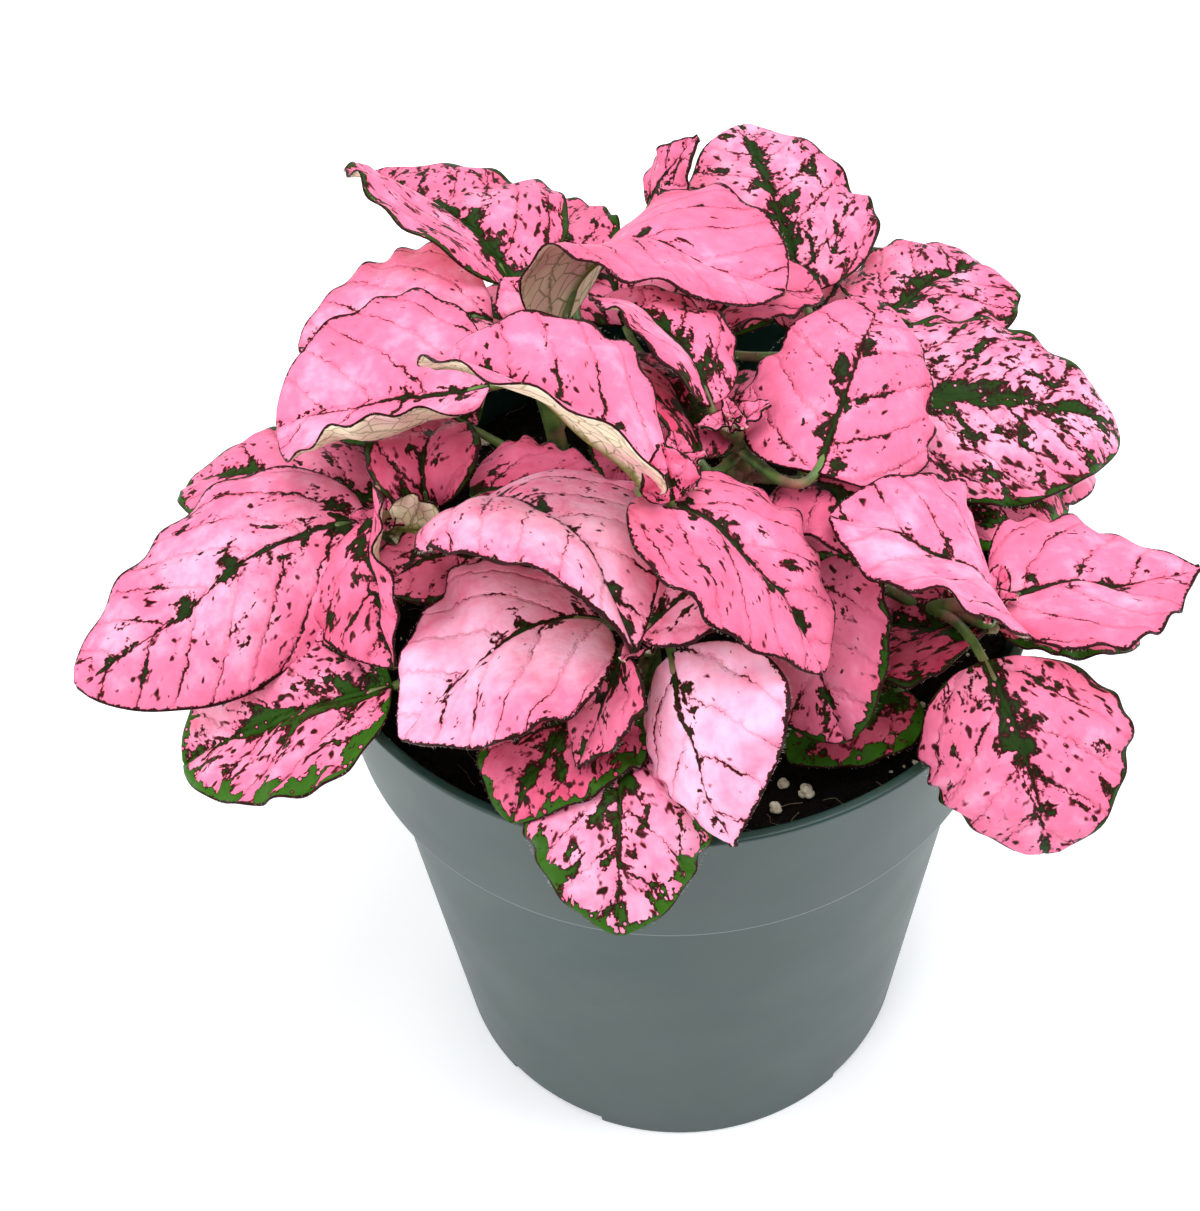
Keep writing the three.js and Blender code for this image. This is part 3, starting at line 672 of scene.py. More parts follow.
def relief(row, seed, share, across, across_mm, phase):
    """How far the tissue stands off the middle surface, and how far the rib does below it."""
    size = min(row.width / FULL_WIDTH, 1)
    hump = np.sin(np.pi * share)
    inner = (np.clip(np.abs(across_mm) / FLAT_BY_MIDRIB, 0, 1)
             * np.clip((1 - np.abs(across)) / FLAT_BY_MARGIN, 0, 1))
    change = np.sin(QUILT_CHANGES[0] * phase + across * QUILT_CHANGES[1] + seed)
    uneven = 1 - QUILT_CHANGE + QUILT_CHANGE * change
    quilt = QUILT_HEIGHT * np.abs(np.sin(np.pi * phase)) ** QUILT_POWER * uneven * inner
    ripple = np.sin(math.tau * RIPPLES * share + seed + np.where(across >= 0, 0, RIPPLE_SHIFT))
    ripple = RIPPLE_HEIGHT * ripple * across ** 4 * hump
    along_it = np.sin(math.tau * SWELLS * share + seed * SWELL_SHIFTS[0])
    across_it = np.sin(SWELLS_ACROSS * across + seed * SWELL_SHIFTS[1])
    swell = SWELL_HEIGHT * (along_it * across_it) * hump
    fade = np.sin(np.pi * np.clip(share, *GROOVE_SPAN)) ** GROOVE_FADE
    groove = GROOVE_DEPTH * np.exp(-((across_mm / GROOVE_WIDTH) ** 2)) * fade
    rib = RIB_HEIGHT * np.exp(-((across_mm / RIB_WIDTH) ** 2)) * (1 - RIB_TAPER * share)
    return (quilt + ripple + swell - groove) * size, rib * size


# %% [markdown]
# The grid is finer near the midrib, where the groove is. Its upper face and its underside are
# joined by a strip round the margin, where the leaf is thinnest. Each vertex also keeps the
# facts that the finish needs: its place in millimetres, its shares, its place between the side
# veins, its distance to the margin, and the leaf's own colouring.

# %% Leaf mesh
GRID_ALONG, GRID_ACROSS, GRID_POWER = 52, 34, 1.2
LEAF_THICKNESS, MARGIN_THICKNESS, MARGIN_SHARE = 0.42, 0.24, 1 / 6
FINE_WIDTH, SEED_STRIDE, PHASE_STRIDE = 14, 9.7, 0.37


def grid_normals(points):
    """Normals of a grid of points laid out as [along, across]."""
    return unit(np.cross(np.gradient(points, axis=0), np.gradient(points, axis=1)))


def shell_faces(rows, columns):
    """Quads of a grid's upper face, its underside and the strip round its margin."""
    count = rows * columns
    number = np.arange(count).reshape(rows, columns)
    a, b = number[:-1, :-1].ravel(), number[:-1, 1:].ravel()
    c, d = number[1:, 1:].ravel(), number[1:, :-1].ravel()
    above = np.stack([a, d, c, b], 1)
    below = np.stack([a, b, c, d], 1) + count
    ring = np.concatenate([number[0, :-1], number[:-1, -1], number[-1, :0:-1], number[:0:-1, 0]])
    following = np.roll(ring, -1)
    strip = np.stack([ring, following, following + count, ring + count], 1)
    return np.concatenate([above, below, strip])


def leaf_parts(row, seed, cells=(GRID_ALONG, GRID_ACROSS)):
    """A leaf's points, faces and the facts that its look needs, all in millimetres."""
    share = np.linspace(0, 1, cells[0] + 1)[:, None]
    step = np.linspace(-1, 1, cells[1] + 1)[None, :]
    share, across = np.broadcast_arrays(share, np.sign(step) * np.abs(step) ** GRID_POWER)
    middle = leaf_surface(row, share, across)
    normal = grid_normals(middle)
    finer = max(FINE_WIDTH / row.width, 1)
    half = half_width(share, row.width, row.tip_power)
    along_mm = share * leaf_length(row) * finer
    across_mm = across * half * finer
    margin_mm = (1 - np.abs(across)) * half * finer
    phase = vein_phase(along_mm, across_mm, seed * PHASE_STRIDE % 1)
    lift, rib = relief(row, seed, share, across, across_mm, phase)
    edge = np.clip((1 - np.abs(across)) / MARGIN_SHARE, 0, 1)
    thick = (MARGIN_THICKNESS + (LEAF_THICKNESS - MARGIN_THICKNESS) * edge) / 2
    top = middle + normal * (lift + thick)[..., None]
    under = middle + normal * (lift - thick - rib)[..., None]
    points = np.concatenate([top.reshape(-1, 3), under.reshape(-1, 3)])

    def both(*values):
        """Three numbers for each vertex, the same on the upper face and the underside."""
        columns = [np.broadcast_to(value, share.shape).ravel() for value in values]
        return np.tile(np.stack(columns, 1), (2, 1))

    facts = {"place": both(across_mm, along_mm, seed * SEED_STRIDE),
             "form": both(share, across, 0.0),
             "vein": both(phase, margin_mm, 0.0),
             "look": both(*row.look)}
    facts["form"][share.size:, 2] = 1
    return points, shell_faces(*share.shape), facts


def leaf_object(name, leaves):
    """One object that holds these leaves, with their facts stored on its vertices."""
    first, faces = 0, []
    for points, quads, _ in leaves:
        faces.append(quads + first)
        first += len(points)
    points = np.concatenate([leaf[0] for leaf in leaves])
    made = mesh_object(name, points * MM, np.concatenate(faces).tolist())
    for fact in leaves[0][2]:
        keep(made.data, fact, np.concatenate([leaf[2][fact] for leaf in leaves]))
    smooth(made)
    face_outwards(made)
    return made


# %% [markdown]
# ## The leaf's finish
# Each leaf is painted by its veins. An image could hold the marks, but every leaf would need
# its own; the facts that are stored with the mesh place a pattern in real millimetres, and it
# comes out different on every leaf. Five kinds of green are measured as a depth inside their own outline:
# jagged blotches that gather at the midrib, small flecks, the midrib itself, the broken side
# veins, and the margin with its teeth. Each depth is a recipe, a start and a weight for each
# fact, and the deepest one wins. Its outline is a thin dark rim, because pink over green looks
# nearly black. A leaf's own numbers say how far each kind spreads, so one material gives plain
# pink leaves and densely splashed ones. Tiny pink holes break the green up.

# %% Leaf patterns
# Each noise: scale for each millimetre, detail, roughness and distortion.
PATTERNS = {
    "coarse": (0.25, 3, 0.6, 0.3),
    "flecks": (0.6, 1, 0.5, 0.1),
    "fine": (1.3, 2, 0.6),
    "clouds": (0.1, 1, 0.5),
    "cells": (0.42, 2, 0.55),
}
# Each noise that follows the veins: how much it is stretched across the leaf, and its shift.
VEINED_MAPS = {"coarse": (1.15, 300.0), "flecks": (1.0, 900.0)}
MAP_STRIDE = 7.3
VEIN_PULL = 0.5
VEIN_JAG, VEIN_SWAY = 0.16, 0.24
VEIN_FLATNESS = 0.85
HOLE_SPACING, HOLE_RADIUS, HOLE_DEPTH, HOLE_CHANCE = 2.1, 0.3, 2.0, (0.45, 0.95)


def read(tree, name, *titles):
    """The numbers of a stored vector, under these titles."""
    vector = add(tree, "ShaderNodeAttribute", attribute_name=name).outputs["Vector"]
    parts = add(tree, "ShaderNodeSeparateXYZ", {"Vector": vector}).outputs
    return dict(zip(titles, parts))


def flat_place(tree, facts, stretch, along, shift):
    """A place on a flat map; every leaf has its own part of the map."""
    x = weigh(tree, shift, (facts["across_mm"], stretch), (facts["seed"], MAP_STRIDE))
    return add(tree, "ShaderNodeCombineXYZ", {"X": x, "Y": along}).outputs[0]


def leaf_facts(tree):
    """Everything that a leaf's look depends on: stored numbers, noises and distances."""
    facts = read(tree, "place", "across_mm", "along_mm", "seed")
    facts |= read(tree, "form", "share", "across", "under")
    facts |= read(tree, "vein", "phase", "margin")
    facts |= read(tree, "look", "spots", "green_margin", "depth")
    facts["out"] = calc(tree, "ABSOLUTE", facts["across"])
    facts["place"] = flat_place(tree, facts, 1.0, facts["along_mm"], 0.0)
    pulled = calc(tree, "MULTIPLY", facts["phase"], VEIN_SPACING * VEIN_PULL)
    pulled = weigh(tree, pulled, (facts["along_mm"], 1 - VEIN_PULL))
    for name, pattern in PATTERNS.items():
        where = facts["place"]
        if name in VEINED_MAPS:
            stretch, shift = VEINED_MAPS[name]
            where = flat_place(tree, facts, stretch, pulled, shift)
        facts[name] = noise(tree, where, *pattern, space="2D")

    facts["jag"] = calc(tree, "SUBTRACT", facts["fine"], 0.5)
    sway = calc(tree, "SUBTRACT", facts["cells"], 0.5)
    crooked = weigh(tree, facts["phase"], (facts["jag"], VEIN_JAG), (sway, VEIN_SWAY))
    nearest = calc(tree, "ABSOLUTE", calc(tree, "SUBTRACT", crooked, calc(tree, "ROUND", crooked)))
    facts["off_vein"] = calc(tree, "MULTIPLY", nearest, VEIN_SPACING * VEIN_FLATNESS)
    facts["off_centre"] = calc(tree, "ABSOLUTE", facts["across_mm"])

    holes = add(tree, "ShaderNodeTexVoronoi", {"Vector": facts["place"], "Scale": 1 / HOLE_SPACING},
                voronoi_dimensions="2D").outputs
    hue = add(tree, "ShaderNodeSeparateColor", {"Color": holes["Color"]}).outputs[0]
    size = calc(tree, "MULTIPLY", ramp_between(tree, hue, *HOLE_CHANCE), HOLE_RADIUS)
    off_hole = weigh(tree, 0.0, (holes["Distance"], HOLE_SPACING), (size, -1.0))
    facts["hole"] = calc(tree, "MULTIPLY", off_hole, HOLE_DEPTH)
    return facts


# %% Green marks
# Each recipe: its start, and the weight of each fact.
NEAR_MIDRIB = (0.18, {"spots": 0.05})
BLOTCH = (-0.945, {"coarse": 1.0, "fine": 0.26, "spots": 0.23, "near": 1.0})
FLECK = (-1.07, {"flecks": 1.0, "spots": 0.24, "clouds": 0.3})
MIDRIB = (0.0, {"coarse": 1.1, "share": -0.75, "spots": 0.25, "off_midrib": -1.0})
SIDE_VEIN = (-0.96, {"coarse": 1.0, "clouds": 0.85, "spots": 0.16, "out": -0.1, "off_vein": -1.0})
MARGIN_TEETH = (-0.38, {"fine": 1.6, "margin": -1.0})
WIDE_MARGIN = (-3.4, {"coarse": 12.0})
BLOTCH_STEEPNESS, FLECK_STEEPNESS = 3.2, 1.5
MIDRIB_JAG = 0.7
GATHER_WIDTH, GATHER_END = 5.5, 1.15


def total(tree, facts, recipe):
    """A recipe's start plus each of its facts times its weight."""
    start, weights = recipe
    return weigh(tree, start, *[(facts[name], weight) for name, weight in weights.items()])


def green_depth(tree, facts):
    """How many millimetres a point lies inside the green, below nothing where it is pink."""
    facts["off_midrib"] = calc(tree, "ABSOLUTE",
                               weigh(tree, facts["across_mm"], (facts["jag"], MIDRIB_JAG)))
    reach = calc(tree, "MULTIPLY", calc(tree, "SUBTRACT", GATHER_END, facts["share"]), GATHER_WIDTH)
    near = falloff(tree, facts["off_midrib"], reach)
    facts["near"] = calc(tree, "MULTIPLY", near, total(tree, facts, NEAR_MIDRIB))
    wide_margin = calc(tree, "MULTIPLY", facts["green_margin"], total(tree, facts, WIDE_MARGIN))
    depths = [
        calc(tree, "MULTIPLY", total(tree, facts, BLOTCH), BLOTCH_STEEPNESS),
        calc(tree, "MULTIPLY", total(tree, facts, FLECK), FLECK_STEEPNESS),
        total(tree, facts, MIDRIB),
        total(tree, facts, SIDE_VEIN),
        total(tree, facts, MARGIN_TEETH),
        calc(tree, "SUBTRACT", wide_margin, facts["margin"]),
    ]
    deepest = depths[0]
    for depth in depths[1:]:
        deepest = calc(tree, "MAXIMUM", deepest, depth)
    return calc(tree, "MINIMUM", deepest, facts["hole"])


# %% [markdown]
# The upper face is pink, and each leaf has its own depth. Light and shade are painted on it too:
# it is paler in the middle, a painted highlight, deeper towards the margin, and darker in the
# creases over the side veins, both painted shade. Going into a green mark, the paint turns to a
# wine-red rim, a nearly black line and then green, which is fresher near a green margin. The
# underside is cream with a net of olive veins, and shows the green of the upper face faintly.

# %% Leaf finish
PINK_PALE = paint(255, 192, 222)
PINK = paint(246, 128, 166)
PINK_DEEP = paint(206, 66, 102)
SPOT_RIM = paint(98, 24, 34)
SPOT_DARK = paint(36, 15, 6)
SPOT_GREEN = paint(28, 50, 12)
FRESH_GREEN = paint(54, 104, 18)
CREAM = paint(246, 240, 206)
CREAM_PINK = paint(240, 204, 196)
OLIVE = paint(112, 122, 40)
MARGIN_DARK = paint(48, 16, 20)
# Depths inside the green, in millimetres, over which each paint gives way to the next.
INTO_RIM, INTO_DARK, INTO_GREEN, INTO_OLIVE = (-0.14, -0.02), (-0.02, 0.1), (0.12, 0.45), (-0.1, 0.4)
FRESHNESS, FRESH_REACH = (0.4, {"fresh": 0.6}), 9
# The out_cubed weight paints light: it keeps the middle of a leaf paler, a painted highlight, and deepens
# the pink towards the margin as painted shade.
BLUSH_AND_SHADE = (-0.39, {"depth": 0.8, "out_cubed": 0.2, "clouds": 0.5, "cells": 0.4})
BLUSH_STOPS = ((0.0, PINK_PALE), (0.38, PINK), (1.0, PINK_DEEP))
# The creases over the side veins get a painted shade of deep pink.
SHADED_CREASE_WIDTH, CREASE_SHADE_SHARE = 0.45, 0.3
NET_SCALE, NET_WIDTH, NET_SHARE = 0.42, 0.075, (0.9, {"out": -0.3})
UNDER_VEIN_WIDTH, UNDER_RIB_WIDTH, SHOW_THROUGH = 0.4, 1.4, 0.6
MARGIN_LINE = (0.1, {"fine": 0.4})
LEAF_HEIGHT = (0.0, {"cells": 0.45, "fine": 0.1, "vein_groove": -0.4, "midrib_groove": -0.4})
LEAF_BUMP, BUMP_GROOVE = 0.6 * MM, 0.7


def upper_colour(tree, facts, inside):
    facts["fresh"] = falloff(tree, facts["margin"], FRESH_REACH)
    fresh = calc(tree, "MULTIPLY", facts["green_margin"], total(tree, facts, FRESHNESS))
    green = mix_colour(tree, fresh, SPOT_GREEN, FRESH_GREEN)
    # Painted highlight and shade: the pink is paler in the middle of a leaf and deeper towards its margin.
    facts["out_cubed"] = calc(tree, "POWER", facts["out"], 3.0)
    ramp = add(tree, "ShaderNodeValToRGB", {"Fac": total(tree, facts, BLUSH_AND_SHADE)})
    ramp.color_ramp.elements.new(0.5)
    for element, (place, colour) in zip(ramp.color_ramp.elements, BLUSH_STOPS):
        element.position = place
        element.color = colour
    # Painted shade: the pink turns deeper over the side veins, where the creases lie.
    crease_shade = calc(tree, "MULTIPLY", falloff(tree, facts["off_vein"], SHADED_CREASE_WIDTH), CREASE_SHADE_SHARE)
    colour = mix_colour(tree, crease_shade, ramp.outputs["Color"], PINK_DEEP)
    for limits, next_colour in ((INTO_RIM, SPOT_RIM), (INTO_DARK, SPOT_DARK), (INTO_GREEN, green)):
        colour = mix_colour(tree, ramp_between(tree, inside, *limits), colour, next_colour)
    return colour


def under_colour(tree, facts, inside):
    net = add(tree, "ShaderNodeTexVoronoi", {"Vector": facts["place"], "Scale": NET_SCALE},
              feature="DISTANCE_TO_EDGE", voronoi_dimensions="2D").outputs["Distance"]
    net_share = calc(tree, "MAXIMUM", falloff(tree, net, NET_WIDTH),
                     falloff(tree, facts["off_vein"], UNDER_VEIN_WIDTH))
    net_share = calc(tree, "MULTIPLY", net_share, total(tree, facts, NET_SHARE))
    shown = calc(tree, "MULTIPLY", ramp_between(tree, inside, *INTO_OLIVE), SHOW_THROUGH)
    rib = falloff(tree, facts["off_centre"], UNDER_RIB_WIDTH)
    colour = mix_colour(tree, ramp_between(tree, facts["clouds"], 0.5, 0.7), CREAM, CREAM_PINK)
    for share in (shown, net_share, rib):
        colour = mix_colour(tree, share, colour, OLIVE)
    return colour


def leaf_material():
    material, tree, shader = new_material(
        "leaf_tissue", Roughness=0.5, Specular_IOR_Level=0.1, Subsurface_Weight=0.12,
        Subsurface_Scale=0.8 * MM, Subsurface_Radius=(1, 0.35, 0.4))
    facts = leaf_facts(tree)
    inside = green_depth(tree, facts)
    upper = upper_colour(tree, facts, inside)
    below = under_colour(tree, facts, inside)
    colour = mix_colour(tree, ramp_between(tree, facts["under"], 0.3, 0.7), upper, below)
    line = calc(tree, "SUBTRACT", total(tree, facts, MARGIN_LINE), facts["margin"])
    colour = mix_colour(tree, ramp_between(tree, line, -0.05, 0.05), colour, MARGIN_DARK)
    tree.links.new(colour, shader.inputs["Base Color"])

    facts["vein_groove"] = falloff(tree, facts["off_vein"], BUMP_GROOVE)
    facts["midrib_groove"] = falloff(tree, facts["off_centre"], BUMP_GROOVE)
    bump(tree, shader, total(tree, facts, LEAF_HEIGHT), distance=LEAF_BUMP, strength=0.8)
    roughness = ramp_between(tree, facts["cells"], 0, 1, least=0.4, most=0.6)
    tree.links.new(roughness, shader.inputs["Roughness"])
    return material


leaf_tissue = leaf_material()

# %% Leaves
leaf_count = leaf_faces = 0
for stem_name, stem in STEMS.items():
    for number, row in enumerate(stem["leaves"], 1):
        leaf_count += 1
        leaf = leaf_object(f"{stem_name}_leaf_{number}", [leaf_parts(row, leaf_count)])
        fit(leaf, leaf_tissue, "leaf", stem_name)
        leaf_faces += len(leaf.data.polygons)
print("leaves:", leaf_count, "with", leaf_faces, "faces")

# %% [markdown]
# ## Stems and stalks
# The stems are round and juicy, green with a flush of pink. Each follows a smooth path. A
# bevelled curve could show one, but its taper is clumsy to set; in a node tree that sweeps a
# round section, each point of the path carries its own thickness. The same tree sweeps the
# root fibres in the soil.


# %% Sweeping tree
def sweeping_tree():
    """Geometry Nodes: a round rod along the carrier's lines, as thick as each point says."""
    tree, source = new_tree("swept_rod", Lines="Geometry", Sides="Int", Finish="Material")
    thick = add(tree, "GeometryNodeInputNamedAttribute", {"Name": "thick"}, data_type="FLOAT")
    path = add(tree, "GeometryNodeMeshToCurve", {"Mesh": source["Lines"]})
    section = add(tree, "GeometryNodeCurvePrimitiveCircle",
                  {"Resolution": source["Sides"], "Radius": 1.0})
    rod = add(tree, "GeometryNodeCurveToMesh",
              {"Curve": path.outputs[0], "Profile Curve": section.outputs["Curve"],
               "Scale": thick.outputs[0], "Fill Caps": True})
    return finish_tree(tree, rod.outputs[0], source["Finish"])


sweep_tree = sweeping_tree()


def swept_rods(name, lines, sides, finish):
    """Sweeps each line, its points and its radii in millimetres, into one mesh of closed rods."""
    edges, first = [], 0
    for points, _ in lines:
        edges += [(first + i, first + i + 1) for i in range(len(points) - 1)]
        first += len(points)
    carrier = mesh_object("paths", np.concatenate([line[0] for line in lines]) * MM, edges=edges)
    thick = np.concatenate([line[1] for line in lines]) * MM
    keep(carrier.data, "thick", thick, "FLOAT", "value")
    rods = grow(carrier, sweep_tree, {"Sides": sides, "Finish": finish}, name)
    discard(carrier)
    face_outwards(rods)
    return rods


# %% Stem paths
SOIL_TOP, STEM_DEPTH, STEM_LEAN = 97.0, 12.0, 0.4
STEM_RADIUS, CROWN_RADIUS = 2.0, 1.1
STALK_RADIUS, STALK_TIP_RADIUS = 0.85, 0.6
STALK_DROP, STALK_CLEARANCE, CROWN_CLEARANCE = 7.0, 4.0, 2.0
STALK_SUNK, STALK_BELOW, STALK_REACH, STALK_BEND = 0.1, 0.45, 0.35, 0.6
LOWEST_SHARE, SHARE_STEP = 0.4, 0.02
ROUND_END = (1.0, 0.94, 0.8, 0.55, 0.15)
STEM_STEPS, STALK_STEPS, ROD_SIDES = 20, 12, 10


def stem_controls(stem):
    x, y = stem["foot"]
    top = stem["crown"]
    bend = top[2] + (SOIL_TOP - top[2]) * STEM_LEAN
    return (x, y, SOIL_TOP - STEM_DEPTH), (x, y, bend), top


def stalk_controls(stem, row):
    """A stalk leaves its stem a little below the leaf's base and runs on into the midrib."""
    curve = stem_controls(stem)
    base = np.array(row.base, float)
    highest = stem["crown"][2] - CROWN_CLEARANCE
    wanted = min(max(base[2] - STALK_DROP, SOIL_TOP + STALK_CLEARANCE), highest)
    share = 1.0
    while share > LOWEST_SHARE and bezier(curve, share)[0][2] > wanted:
        share -= SHARE_STEP
    start = bezier(curve, share)[0]
    normal = leaf_frame(row)[3]
    inside = bezier(midrib_controls(row), STALK_SUNK)[0] - normal * STALK_BELOW
    along = bezier(midrib_controls(row), 0.0)[1]
    before = base - along * STALK_REACH * np.linalg.norm(base - start)
    before[2] = max(before[2], min(start[2], base[2]))
    return start, before * STALK_BEND + start * (1 - STALK_BEND), before, inside


def rod_line(controls, steps, start_radius, end_radius):
    """Points and radii of a rod whose far end is rounded off."""
    share = np.linspace(0, 1, steps + 1)
    points, along = bezier(controls, share)
    radius = start_radius + (end_radius - start_radius) * share
    cap = np.linspace(0, end_radius, len(ROUND_END))[1:, None] * along[-1]
    points = np.concatenate([points, points[-1] + cap])
    return points, np.concatenate([radius, end_radius * np.array(ROUND_END[1:])])


# %% Stem finish
STALK_GREEN = paint(104, 132, 62)
STALK_DARK = paint(64, 88, 44)
STALK_BLUSH = paint(176, 92, 104)
STREAKS, FLUSH, FLUSH_SHARE = (420, 3), (130, 2), 0.6


def stem_material():
    """Juicy green stem: fine streaks, a pink flush here and there, and a soft surface."""
    material, tree, shader, where, streak, colour = mottled_material(
        "stem_green", grain=STREAKS, spread=(0.35, 0.65), tones=(STALK_GREEN, STALK_DARK),
        Roughness=0.45)
    flush = ramp_between(tree, noise(tree, where, *FLUSH), 0.5, 0.7)
    colour = mix_colour(tree, calc(tree, "MULTIPLY", flush, FLUSH_SHARE), colour, STALK_BLUSH)
    tree.links.new(colour, shader.inputs["Base Color"])
    bump(tree, shader, streak, distance=0.12 * MM, strength=0.6)
    return material


stem_green = stem_material()

# %% Stems
stem_faces = 0
for stem_name, stem in STEMS.items():
    lines = [rod_line(stem_controls(stem), STEM_STEPS, STEM_RADIUS, CROWN_RADIUS)]
    for row in stem["leaves"]:
        controls = stalk_controls(stem, row)
        lines.append(rod_line(controls, STALK_STEPS, STALK_RADIUS, STALK_TIP_RADIUS))
    stalks = swept_rods(stem_name + "_stalks", lines, ROD_SIDES, stem_green)
    fit(stalks, stem_green, "leaf", stem_name)
    stem_faces += len(stalks.data.polygons)
print("stems:", len(STEMS), "with", stem_faces, "faces")

# %% [markdown]
# ## Hairs and young leaves
# The margins, the stalks and the stems carry short white hairs, which show as a faint pale
# fringe against the dark soil. Blender's own hair could grow them, but it is no mesh. Here a
# carrier mesh holds one point for each hair, with the way it aims and its length, and a node
# tree sets a slender cone on every point.


# %% Hair tree
def hair_tree():
    """Geometry Nodes: a slender cone on each point of the carrier, along its own aim."""
    tree, source = new_tree("short_hairs", Roots="Geometry", Thickness="Float", Finish="Material")
    points = add(tree, "GeometryNodeMeshToPoints", {"Mesh": source["Roots"]})
    aim = add(tree, "GeometryNodeInputNamedAttribute", {"Name": "aim"}, data_type="FLOAT_VECTOR")
    length = add(tree, "ShaderNodeVectorMath", {0: aim.outputs[0]}, operation="LENGTH")
    turned = add(tree, "FunctionNodeAlignRotationToVector", {"Vector": aim.outputs[0]}, axis="Z")
    size = add(tree, "ShaderNodeCombineXYZ",
               {"X": source["Thickness"], "Y": source["Thickness"], "Z": length.outputs["Value"]})
    cone = add(tree, "GeometryNodeMeshCone",
               {"Vertices": 3, "Radius Top": 0.15, "Radius Bottom": 0.5, "Depth": 1.0})
    hairs = add(tree, "GeometryNodeInstanceOnPoints",
                {"Points": points.outputs[0], "Instance": cone.outputs["Mesh"],
                 "Rotation": turned.outputs[0], "Scale": size.outputs[0]})
    return finish_tree(tree, hairs.outputs[0], source["Finish"])


# %% Hair roots
HAIR_SPACING, HAIR_LENGTH, HAIR_THICKNESS = 0.5, 0.4, 0.03
STEM_HAIR_SPACING, STEM_HAIR_LENGTH = 0.35, 0.42
FIRST_ON_STEM, FIRST_ON_STALK = 0.45, 0.1
HAIR_SCATTER, HAIR_LENGTHS = 0.45, (0.5, 1.2)
MARGIN_SPAN, MARGIN_LENGTH, MARGIN_INNER, FEWEST_HAIRS = (0.03, 0.99), 1.15, 0.9, 4
MEASURE_STEPS = 24
HAIR_WHITE = paint(246, 238, 232)


def scattered(aims, length, chance):
    """Unit aims shaken a little, each with its own length."""
    shaken = unit(aims + chance.normal(scale=HAIR_SCATTER, size=aims.shape))
    return shaken * length * chance.uniform(*HAIR_LENGTHS, size=(len(aims), 1))


def margin_hairs(row, chance):
    """Roots and aims of the hairs along both margins of a leaf, in millimetres."""
    count = max(int(leaf_length(row) * MARGIN_LENGTH / HAIR_SPACING), FEWEST_HAIRS)
    roots, aims = [], []
    for side in (-1, 1):
        share = np.sort(chance.uniform(*MARGIN_SPAN, size=count))
        edge = leaf_surface(row, share, np.full(count, float(side)))
        inner = leaf_surface(row, share, np.full(count, side * MARGIN_INNER))
        roots.append(edge)
        aims.append(unit(edge - inner))
    return np.concatenate(roots), np.concatenate(aims)


def rod_hairs(controls, start_radius, end_radius, first, chance):
    """Roots and aims of the hairs round a rod, from a share of its length on."""
    points, _ = bezier(controls, np.linspace(first, 1, MEASURE_STEPS))
    length = np.linalg.norm(np.diff(points, axis=0), axis=1).sum()
    count = int(length / STEM_HAIR_SPACING)
    share = chance.uniform(first, 1, size=count)
    centre, along = bezier(controls, share)
    outward = unit(np.cross(along, chance.normal(size=(count, 3))))
    radius = start_radius + (end_radius - start_radius) * share
    return centre + outward * radius[:, None], outward


chance = np.random.default_rng(21)
hair_white = mottled_material("leaf_hair", grain=(300, 1), spread=(0.3, 0.7),
                              tones=(HAIR_WHITE, CREAM_PINK), Roughness=0.4)[0]
hairs_tree = hair_tree()
hair_faces = 0
for stem_name, stem in STEMS.items():
    strands = [margin_hairs(row, chance) for row in stem["leaves"]]
    lengths = [np.full(len(roots), HAIR_LENGTH) for roots, _ in strands]
    rods = [(stem_controls(stem), STEM_RADIUS, CROWN_RADIUS, FIRST_ON_STEM)]
    for row in stem["leaves"]:
        rods.append((stalk_controls(stem, row), STALK_RADIUS, STALK_TIP_RADIUS, FIRST_ON_STALK))
    for rod in rods:
        strands.append(rod_hairs(*rod, chance))
        lengths.append(np.full(len(strands[-1][0]), STEM_HAIR_LENGTH))
    roots = np.concatenate([strand[0] for strand in strands])
    aims = np.concatenate([strand[1] for strand in strands])
    aims = scattered(aims, np.concatenate(lengths)[:, None], chance)
    carrier = mesh_object("hair_roots", roots * MM)
    keep(carrier.data, "aim", aims * MM)
    sizes = {"Thickness": HAIR_THICKNESS * MM, "Finish": hair_white}
    hairs = grow(carrier, hairs_tree, sizes, stem_name + "_hairs")
    discard(carrier)
    fit(hairs, hair_white, "leaf", stem_name)
    hair_faces += len(hairs.data.polygons)
print("hairs:", hair_faces, "faces")

# %% [markdown]
# Each growing tip ends in a bud: three pairs of young leaves, folded up round the tip. A small
# egg shape could stand for them, but they catch light as leaves do, so they follow the same
# rule as the grown leaves, with a coarser grid.

# %% Young leaves
# Each pair: length, width and how far it leans out. YOUNG_BEND goes from rise to tip power.
YOUNG_PAIRS = ((2.6, 2.0, 18), (4.0, 3.2, 45), (5.6, 4.4, 62))
YOUNG_BEND = ((0.4, 0.4), (25, 10), (25, 10), 0, 0.6)
YOUNG_LOOK = (.3, .2, .45)
YOUNG_CELLS = (14, 8)
YOUNG_START = 0.4
PAIR_TURN, STEM_TURN = 90, 50

